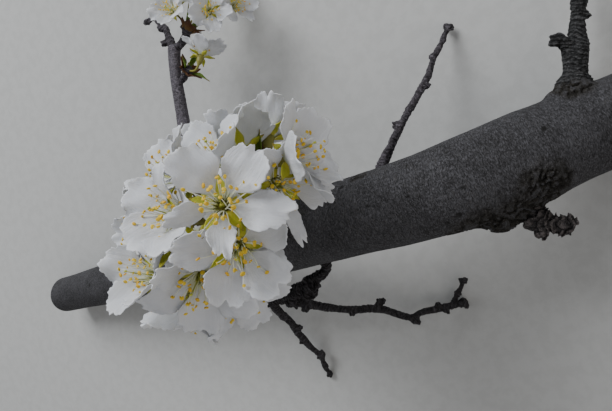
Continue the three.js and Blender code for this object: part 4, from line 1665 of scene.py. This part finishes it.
class Looks:
    """Every material of the branch and the floor."""

    def __init__(self) -> None:
        """Builds the materials."""
        groups = EffectGroups()
        limb = BarkFinish(
            name="limb_bark", dark=colour(0.037, 0.035, 0.0365), middle=colour(0.06, 0.058, 0.062),
            pale=colour(0.108, 0.105, 0.115), crust=colour(0.05, 0.042, 0.03),
            torn=colour(0.0075, 0.0062, 0.0048), pore=colour(0.1, 0.09, 0.085), wrinkle=(0.3, 0.75),
            patch=9, low=0.62, high=0.92, depth=0.16, scars=0.85, creases=0.6,
        )
        shoot = replace(
            limb, name="shoot_bark", dark=colour(0.1, 0.088, 0.1), middle=colour(0.155, 0.138, 0.16),
            pale=colour(0.28, 0.255, 0.285), crust=colour(0.1, 0.082, 0.08), patch=6, scars=0.5,
        )
        twig = BarkFinish(
            name="twig_bark", dark=colour(0.01, 0.0078, 0.0085), middle=colour(0.028, 0.0235, 0.026),
            pale=colour(0.105, 0.098, 0.106), crust=colour(0.024, 0.0195, 0.02),
            torn=colour(0.0035, 0.003, 0.003), pore=colour(0.075, 0.055, 0.045), wrinkle=(0.3, 1.2),
            patch=4, low=0.4, high=0.8, depth=0.14,
        )
        young = replace(
            twig, name="young_bark", dark=colour(0.026, 0.021, 0.025), middle=colour(0.078, 0.066, 0.077),
            pale=colour(0.24, 0.215, 0.245), patch=3,
        )
        stub = replace(
            twig, name="stub_bark", dark=colour(0.005, 0.0051, 0.0053), middle=colour(0.012, 0.012, 0.0124),
            pale=colour(0.145, 0.143, 0.145), crust=colour(0.009, 0.0086, 0.0076), patch=2.5,
        )
        comb = replace(
            twig, name="comb_bark", dark=colour(0.02, 0.0175, 0.018), middle=colour(0.042, 0.036, 0.0375),
            pale=colour(0.2, 0.17, 0.16), crust=colour(0.034, 0.029, 0.0285), patch=2,
        )
        finishes = (limb, shoot, twig, young, stub, comb)
        self.barks = {Bark(finish.name): finish.material(groups) for finish in finishes}
        self.cut = CutWoodFinish().material(groups)
        self.petal = BladeFinish(
            name="petal", body=colour(0.67, 0.675, 0.7), other=colour(0.58, 0.59, 0.62),
            foot=colour(0.6, 0.64, 0.34), edge=colour(0.75, 0.755, 0.775), foot_end=0.14, glow=0.25,
            relief=0.045, sheen=0.1, veins=0.16,
        ).material(groups)
        self.sepal = BladeFinish(
            name="sepal", body=colour(0.68, 0.65, 0.06), other=colour(0.46, 0.5, 0.04),
            foot=colour(0.76, 0.68, 0.1), edge=colour(0.36, 0.28, 0.035), foot_end=0.4, glow=0.35, relief=0.1,
            roughness=(0.42, 0.6), veins=0.6,
        ).material(groups)
        self.scale = BladeFinish(
            name="bud_scale", body=colour(0.2, 0.085, 0.03), other=colour(0.11, 0.045, 0.02),
            foot=colour(0.24, 0.14, 0.04), edge=colour(0.1, 0.04, 0.02), foot_end=0.5, glow=0.05, relief=0.12,
            roughness=(0.5, 0.75), veins=0.7,
        ).material(groups)
        self.leaf = BladeFinish(
            name="leaf_tip", body=colour(0.2, 0.3, 0.04), other=colour(0.12, 0.2, 0.03),
            foot=colour(0.3, 0.36, 0.08), edge=colour(0.26, 0.2, 0.05), foot_end=0.3, glow=0.15, relief=0.1,
            roughness=(0.4, 0.6), veins=0.6,
        ).material(groups)
        self.cup = BladeFinish(
            name="cup", body=colour(0.5, 0.52, 0.065), other=colour(0.38, 0.43, 0.05),
            foot=colour(0.26, 0.24, 0.05), edge=colour(0.78, 0.72, 0.14), foot_end=0.25, glow=0.15,
            relief=0.06, roughness=(0.4, 0.6),
        ).material(groups)
        self.thread = BladeFinish(
            name="filament", body=colour(0.86, 0.87, 0.72), other=colour(0.8, 0.82, 0.6),
            foot=colour(0.68, 0.7, 0.2), edge=colour(0.85, 0.84, 0.66), foot_end=0.35, glow=0.2,
            relief=0.01,
        ).material(groups)
        self.anther = BladeFinish(
            name="anther", body=colour(0.9, 0.66, 0.05), other=colour(0.84, 0.42, 0.035),
            foot=colour(0.86, 0.68, 0.12), edge=colour(0.9, 0.7, 0.12), foot_end=0.2, glow=0.1, relief=0.04,
            roughness=(0.6, 0.85), veins=0.35,
        ).material(groups)
        self.floor = FloorFinish().material(groups)


@dataclass
class Studio:
    """The floor, the lights and the camera.

    Fields:
        eye: Where the camera stands, in millimetres.
        right, up, back: The camera's own axes.
        sensor: The width of the photograph on the camera's sensor, in millimetres.
        lens: The focal length, in millimetres.
        floor_reach: Half the side of the floor, in metres.
    """

    eye: Triple = (131.378, -14.845, 207.93)
    right: Triple = (0.8188, -0.3256, -0.4728)
    up: Triple = (0.282, 0.9455, -0.1628)
    back: Triple = (0.5, 0.0, 0.866)
    sensor: float = 36.0
    lens: float = 36.0
    floor_reach: float = 2.5

    def camera(self) -> None:
        """Puts the camera at the photograph's viewing angle."""
        data = bpy.data.cameras.new("camera")
        data.sensor_width = self.sensor
        data.lens = self.lens
        data.clip_start = 0.01
        data.clip_end = 20.0
        eye = bpy.data.objects.new("camera", data)
        columns = Matrix((self.right, self.up, self.back)).transposed()
        eye.matrix_world = Matrix.Translation(Vector(self.eye) * MM) @ columns.to_4x4()
        bpy.context.collection.objects.link(eye)
        bpy.context.scene.camera = eye

    def floor(self, material: bpy.types.Material) -> None:
        """Lays the floor that the branch lies on."""
        shape = bmesh.new()
        bmesh.ops.create_grid(shape, x_segments=4, y_segments=4, size=self.floor_reach)
        mesh = bpy.data.meshes.new("floor")
        shape.to_mesh(mesh)
        shape.free()
        mesh.materials.append(material)
        floor = bpy.data.objects.new("floor", mesh)
        bpy.context.collection.objects.link(floor)

    @staticmethod
    def lamp(name: str, at: Triple, towards: Triple, size: float, power: float, tint: Triple) -> None:
        """Adds a soft square lamp.

        Args:
            name: Its name.
            at: Where it hangs, in metres.
            towards: The point that it faces, in metres.
            size: Its side, in metres.
            power: Its power in watts.
            tint: Its colour.
        """
        data = bpy.data.lights.new(name, "AREA")
        data.size = size
        data.energy = power
        data.color = tint
        lamp = bpy.data.objects.new(name, data)
        aim = Vector(towards) - Vector(at)
        lamp.rotation_euler = aim.to_track_quat("-Z", "Y").to_euler()
        lamp.location = at
        bpy.context.collection.objects.link(lamp)

    def lights(self) -> None:
        """Lights the branch softly from its upright shoot's side, with an even fill."""
        world = bpy.data.worlds.new("room")
        world.use_nodes = True
        air = world.node_tree.nodes["Background"]
        air.inputs["Color"].default_value = colour(0.86, 0.9, 0.95)
        air.inputs["Strength"].default_value = 0.32
        bpy.context.scene.world = world
        middle = (0, 0, 0.03)
        self.lamp("key", at=(-0.2, 0.9, 0.7), towards=middle, size=0.7, power=14.5, tint=(0.94, 0.97, 1.0))
        self.lamp("fill", at=(0.9, -0.7, 0.8), towards=middle, size=1.2, power=4.4, tint=(1.0, 0.94, 0.87))


# The spur tips that carry blooms.
UPPER = (42, -5.6, 72)
MIDDLE_TIP = (31.7, -14.6, 86)
LOWER = (18.9, -26.8, 78.4)
TOP = (0.7, 54.2, 24)
SIDE = (-4.6, 40.2, 25.2)


def wood_pieces() -> list[WoodPiece]:
    """The wood, each piece after the one that it grows from."""
    return [
        WoodPiece(
            name="limb", slot=Slot.BARK,
            route=[
                (125.8, -26.1, 11.7), (112, -27.2, 17.8), (98.8, -28.9, 23.9), (86.7, -29.3, 29.6),
                (74.1, -29.6, 33.6), (51.1, -29.5, 35.5), (23.9, -28.9, 34), (-10.2, -27.6, 29),
                (-61.8, -26.3, 19.4), (-132.5, -24, 8.1),
            ],
            girth=[(0, 25), (0.06, 25.4), (0.11, 27.2), (0.17, 26.6), (0.22, 26), (0.4, 24), (1, 16.2)],
            knobs=[
                (93, -38.4, 26.6, 7.2), (97.1, -34.5, 28.6, 5.8), (114.1, -17.5, 18.1, 6.4),
                (110.2, -18.5, 20.3, 5.6), (119.6, -20.4, 15.6, 6), (87.2, -39.3, 30.3, 7.2),
                (82.2, -36.6, 31.4, 7),
            ],
            ripple=0.018, relief=LIMB_RELIEF, cuts=(True, True), rough_all=0.0, voxel=0.62, burrs=0,
            look=Bark.LIMB,
            rough_at=[
                (93, -41, 28, 16), (82, -42, 32, 14), (101, -37, 32, 11), (115, -13, 20, 8.5),
                (25, -38, 28, 9), (53, -20, 38, 5),
            ],
        ),
        WoodPiece(
            name="collar_stub", parent="limb",
            route=[
                (112.5, -25, 17.6), (115.2, -13.5, 16.4), (118.2, -4.6, 14.4),
                (121, 3.4, 12.6), (124, 11.4, 11.2), (127, 19, 10.2),
            ],
            girth=[
                (0, 10), (0.275, 10), (0.295, 9.4), (0.31, 7.2), (0.36, 7), (0.46, 7.4),
                (0.5, 7.2), (0.54, 5.6), (0.58, 4.9), (0.68, 4), (0.76, 5.2), (1, 4.6),
            ],
            knobs=[(114.9, 0.3, 16.2, 2.1), (116.2, -1.9, 15.6, 2), (123.8, 4, 11.8, 1.2)],
            ripple=0.04, relief=STUB_RELIEF, cuts=(False, True), rough_all=0.4, look=Bark.STUB,
        ),
        WoodPiece(
            name="collar_spur", parent="limb",
            route=[
                (94.6, -32, 25), (95, -39, 26.3), (95.2, -44.5, 28),
                (96.7, -46.7, 28.1), (99, -48.2, 27.5), (101.8, -49.5, 27), (104.4, -51.4, 26.6),
            ],
            girth=[
                (0, 6.2), (0.5, 6.6), (0.64, 7), (0.72, 5.6), (0.8, 5.6), (0.88, 6.4), (0.94, 5.6), (1, 4.8),
            ],
            knobs=[(96.8, -50.2, 28.8, 1.9), (97.5, -44, 27.7, 1.8)],
            ripple=0.07, relief=COMB_RELIEF, rough_all=0.5, flare=0.5, voxel=0.24, burrs=4, look=Bark.COMB,
        ),
        WoodPiece(
            name="bare_twig", parent="limb",
            route=[
                (52.5, -29, 33), (57.6, -17.2, 29.8), (61.4, -11.8, 26.6), (65, -7.4, 23.8),
                (69.8, -1.8, 19.8), (76, 5.4, 14.2), (78.4, 10, 11.2), (81.3, 13.9, 8), (84.4, 19.6, 2.1),
            ],
            girth=[(0, 4), (0.3, 3.2), (0.6, 2.7), (1, 2.1)],
            knobs=[
                (64, -6.2, 23.4, 1.4), (75, 2.4, 16.2, 1.3), (78.2, 11, 11, 1.1),
                (82.4, 15.2, 6.8, 1.3), (84.8, 19, 2.6, 1.3), (83.7, 19.8, 2.4, 1.2),
            ],
            look=Bark.YOUNG,
        ),
        WoodPiece(
            name="lower_spur", parent="limb",
            route=[
                (26.5, -29.5, 33), (25.2, -38, 27.6), (23.2, -43.9, 24),
                (14.4, -47.2, 21), (0, -51, 17.4), (-9, -51.6, 16),
            ],
            girth=[(0, 4.8), (0.35, 4), (0.5, 4.6), (0.6, 4.6), (0.72, 5.6), (0.88, 5.2), (1, 3.8)],
            knobs=[
                (13.6, -48.4, 21.6, 3), (9.4, -51.6, 19, 3), (1.4, -53.4, 16.6, 2.9),
                (-9.2, -51.6, 16, 2.4), (20.6, -45.4, 24, 1.9),
            ],
            ripple=0.07, relief=SPUR_RELIEF, rough_all=0.6, voxel=0.26, burrs=14,
        ),
        WoodPiece(
            name="lower_twig_right", parent="lower_spur",
            route=[
                (1.4, -53.8, 16.4), (9.5, -57.8, 14.8), (15.3, -60.6, 13.4), (21.7, -62.7, 12.1),
                (27.8, -64, 10.9), (32.2, -66.1, 9.5), (36.1, -68.6, 8.4), (40.1, -71.3, 6.9),
                (44, -70.5, 5.8), (50.3, -70.8, 4.1), (58.2, -71.2, 1.9),
            ],
            girth=[(0, 3.8), (0.2, 3.4), (0.5, 3.1), (0.75, 2.8), (0.85, 2.9), (1, 2.6)],
            knobs=[
                (30.9, -63.6, 10.4, 1.4), (32.1, -62.5, 10.1, 1.5), (21, -63.8, 12.6, 1.3),
                (5, -57, 16.4, 1.7), (41.2, -72.6, 6.6, 1.7), (50.2, -69.6, 4.8, 1.4), (52, -71.9, 3.8, 1.4),
                (55.6, -70, 3, 1.5), (58.4, -71, 2.1, 1.9),
            ],
            ripple=0.06,
        ),
        WoodPiece(
            name="lower_twig_tip",
            route=[(55.2, -70.6, 2.9), (57.6, -67.4, 3.3), (60, -65.4, 3.8), (61.4, -63.2, 4.2)],
            girth=[(0, 2.4), (1, 1.9)],
            knobs=[(58, -67.4, 3.4, 1.3), (61.5, -63.2, 4.2, 1.4)],
            ripple=0.06,
        ),
        WoodPiece(
            name="lower_twig_down",
            route=[
                (-9.2, -51.6, 16), (-9.1, -55.4, 15), (-7.1, -60.4, 12.8), (-6.5, -65, 11.1),
                (-6.1, -69.6, 9.1), (-4.9, -74.8, 6.9), (-3.3, -79, 5.2), (-4.2, -84.4, 3.4), (-4, -88, 1.7),
            ],
            girth=[(0, 3.9), (0.5, 3.1), (1, 2)],
            knobs=[
                (-7.6, -58.8, 13.8, 1.9), (-5.7, -65.4, 10.8, 1.7), (-6.7, -71, 8.6, 1.5),
                (-2.6, -78.8, 5.4, 1.7), (-3.6, -83.6, 3.7, 1.3), (-4, -87.8, 1.9, 1.5),
            ],
            ripple=0.06,
        ),
        WoodPiece(
            name="upright_shoot", slot=Slot.BARK, parent="limb",
            route=[
                (-17.2, -27.6, 30), (-15, -4, 29), (-12.6, 20, 27.9),
                (-10.8, 36, 26.2), (-9.5, 44.9, 24.9), (-8.5, 50.1, 23.8),
            ],
            girth=[(0, 6.6), (0.3, 5.4), (0.9, 4.6), (1, 4.8)],
            knobs=[(-8.4, 50, 23.8, 2.5)],
            ripple=0.02, relief=SHOOT_RELIEF, rough_all=0.1, flare=1.6, voxel=0.36, burrs=0, look=Bark.SHOOT,
        ),
        WoodPiece(
            name="shoot_fork_left",
            route=[
                (-8.5, 50.1, 23.8), (-9.4, 55.3, 23.1), (-10.1, 58.8, 22.4),
                (-12.6, 63.4, 22.1), (-13.8, 66.2, 21.6),
            ],
            girth=[(0, 3.6), (0.5, 3.1), (0.8, 2.8), (1, 2.2)],
            knobs=[
                (-11.2, 53.8, 24.4, 1.5), (-11.6, 60, 23, 1.5), (-13.8, 65.4, 22, 1.4),
                (-15.3, 65.5, 22.5, 1.3), (-16.8, 65.1, 23.2, 1.4),
            ],
            ripple=0.06, look=Bark.YOUNG,
        ),
        WoodPiece(
            name="shoot_fork_right",
            route=[(-8.5, 50.1, 23.8), (-6.1, 50.4, 24), (-2.9, 51.3, 24), (0.6, 53.8, 24)],
            girth=[(0, 3.6), (0.6, 3.3), (1, 3.4)],
            knobs=[(*TOP, 2.4)],
            look=Bark.YOUNG,
        ),
        WoodPiece(
            name="shoot_side_spur",
            route=[(-9.8, 37.6, 25.4), (-7.4, 38.4, 25.4), (-4.8, 40, 25.2)],
            girth=[(0, 2.8), (1, 3)],
            knobs=[(*SIDE, 2.3)],
            look=Bark.YOUNG,
        ),
        WoodPiece(
            name="flower_spur", parent="limb",
            route=[(26.6, -28.6, 35), (27.6, -26.4, 45), (29.4, -23.4, 53), (30, -20.6, 60)],
            girth=[(0, 6), (0.5, 5), (0.62, 5.6), (0.74, 4.6), (0.86, 5.2), (1, 4.6)],
            knobs=[(30, -20.6, 60.4, 3)],
            relief=SPUR_RELIEF,
        ),
        WoodPiece(
            name="flower_spur_upper",
            route=[(30, -20.6, 60.4), (34.6, -14.8, 64.6), (38.6, -9.6, 68.8), (41.6, -6.2, 71.6)],
            girth=[(0, 3.6), (0.6, 3), (1, 3.4)],
            knobs=[(*UPPER, 3)],
        ),
        WoodPiece(
            name="flower_spur_middle",
            route=[(30, -20.6, 60.4), (31.6, -19.2, 70), (31.8, -16.6, 78.6), (31.7, -14.8, 85.4)],
            girth=[(0, 3.8), (0.6, 3.1), (1, 3.4)],
            knobs=[(*MIDDLE_TIP, 3)],
        ),
        WoodPiece(
            name="flower_spur_lower",
            route=[(30, -20.6, 60.4), (26.4, -23.8, 67.6), (22, -25.8, 73.6), (19.2, -26.8, 77.8)],
            girth=[(0, 3.8), (0.6, 3.1), (1, 3.4)],
            knobs=[(*LOWER, 3.2)],
        ),
    ]


def blooms() -> list[Bloom]:
    """The blooms: name, spur tip, seat, facing, spin, opening and size."""
    rows = [
        ("upper_1", UPPER, (58.8, -9, 85.4), (-2, -1), 41, 58, 1),
        ("upper_2", UPPER, (45.3, -0.7, 68.9), (88, -37), 11, 46, 0.82),
        ("upper_3", UPPER, (42.1, -2.8, 77.6), (115, -22), 15, 60, 0.95),
        ("upper_4", UPPER, (52.8, -13.9, 84.2), (-31, 34), 47, 66, 1),
        ("upper_5", UPPER, (31, -0.6, 71.4), (106, 16), 65, 55, 0.95),
        ("upper_6", MIDDLE_TIP, (43.6, -5.7, 89.5), (90, 41), 60, 54, 0.95),
        ("front_1", MIDDLE_TIP, (49.8, -15, 103.2), (14, 54), 41, 64, 1),
        ("front_2", MIDDLE_TIP, (32.6, -13.5, 98.1), (95, 62), 0, 64, 1),
        ("front_3", MIDDLE_TIP, (25.9, -3.7, 84.7), (97, 37), 52, 58, 1),
        ("front_4", MIDDLE_TIP, (46.9, -24.5, 99.1), (-19, 55), 14, 66, 1),
        ("lower_1", LOWER, (19.7, -25, 98.7), (100, 63), 10, 60, 0.95),
        ("lower_2", LOWER, (31.7, -28.7, 96.3), (-70, 54), 28, 62, 1.05),
        ("lower_3", LOWER, (28.6, -35.8, 82), (-62, 17), 54, 55, 0.95),
        ("lower_4", LOWER, (29.9, -26.9, 72), (-19, -16), 43, 48, 0.88),
        ("lower_5", LOWER, (10.8, -15.1, 85.4), (141, 52), 20, 58, 0.95),
        ("lower_6", LOWER, (13.6, -34.8, 83.7), (-112, 28), 11, 55, 1),
        ("back_1", MIDDLE_TIP, (17.6, -1.4, 67.6), (125, -16), 47, 60, 0.95),
        ("back_2", UPPER, (26, -6, 54), (70, -60), 42, 58, 0.95),
        ("back_3", LOWER, (5.4, -19.8, 62), (172, -36), 18, 60, 0.95),
        ("top_1", SIDE, (3.7, 42.4, 26), (70, -29), 57, 60, 0.65),
        ("top_2", TOP, (-0.9, 61.5, 27.4), (51, 70), 30, 62, 0.6),
        ("top_3", TOP, (13.6, 54.9, 26), (-14, 53), 43, 62, 0.6),
        ("top_4", TOP, (18.2, 55.7, 17), (-7, 17), 70, 60, 0.6),
        ("top_5", TOP, (4.4, 66.1, 20.9), (43, 58), 52, 60, 0.65),
        ("top_6", TOP, (10.1, 67.4, 13.4), (44, 9), 62, 60, 0.6),
    ]
    narrow = {
        "upper_4": {3: 0.4},
        "upper_1": {1: 0.55},
        "front_1": {2: 0.42, 3: 0.55},
        "lower_1": {3: 0.75},
    }
    return [
        Bloom(f"bloom_{name}", tip, seat, facing, spin, opening, scale, order, narrow.get(name, {}))
        for order, (name, tip, seat, facing, spin, opening, scale) in enumerate(rows)
    ]


def main() -> None:
    """Builds the scene and reports each piece."""
    logging.basicConfig(level=logging.INFO, format="%(name)s: %(message)s")
    LOG.info("frame holds %d solids", len(frame["nodes"]))
    looks = Looks()
    studio = Studio()
    studio.camera()
    studio.floor(looks.floor)
    studio.lights()
    wood = wood_pieces()
    by_name = {piece.name: piece for piece in wood}
    for order, piece in enumerate(wood):
        shape = piece.build(order * SEED_STEP, by_name.get(piece.parent))
        materials = [looks.barks[piece.look], looks.cut]
        finish_piece(f"{piece.name}_bark", shape, piece.slot, materials, [piece.name])
    Blossom(blooms(), wood).build(looks)


if __name__ == "__main__":
    main()
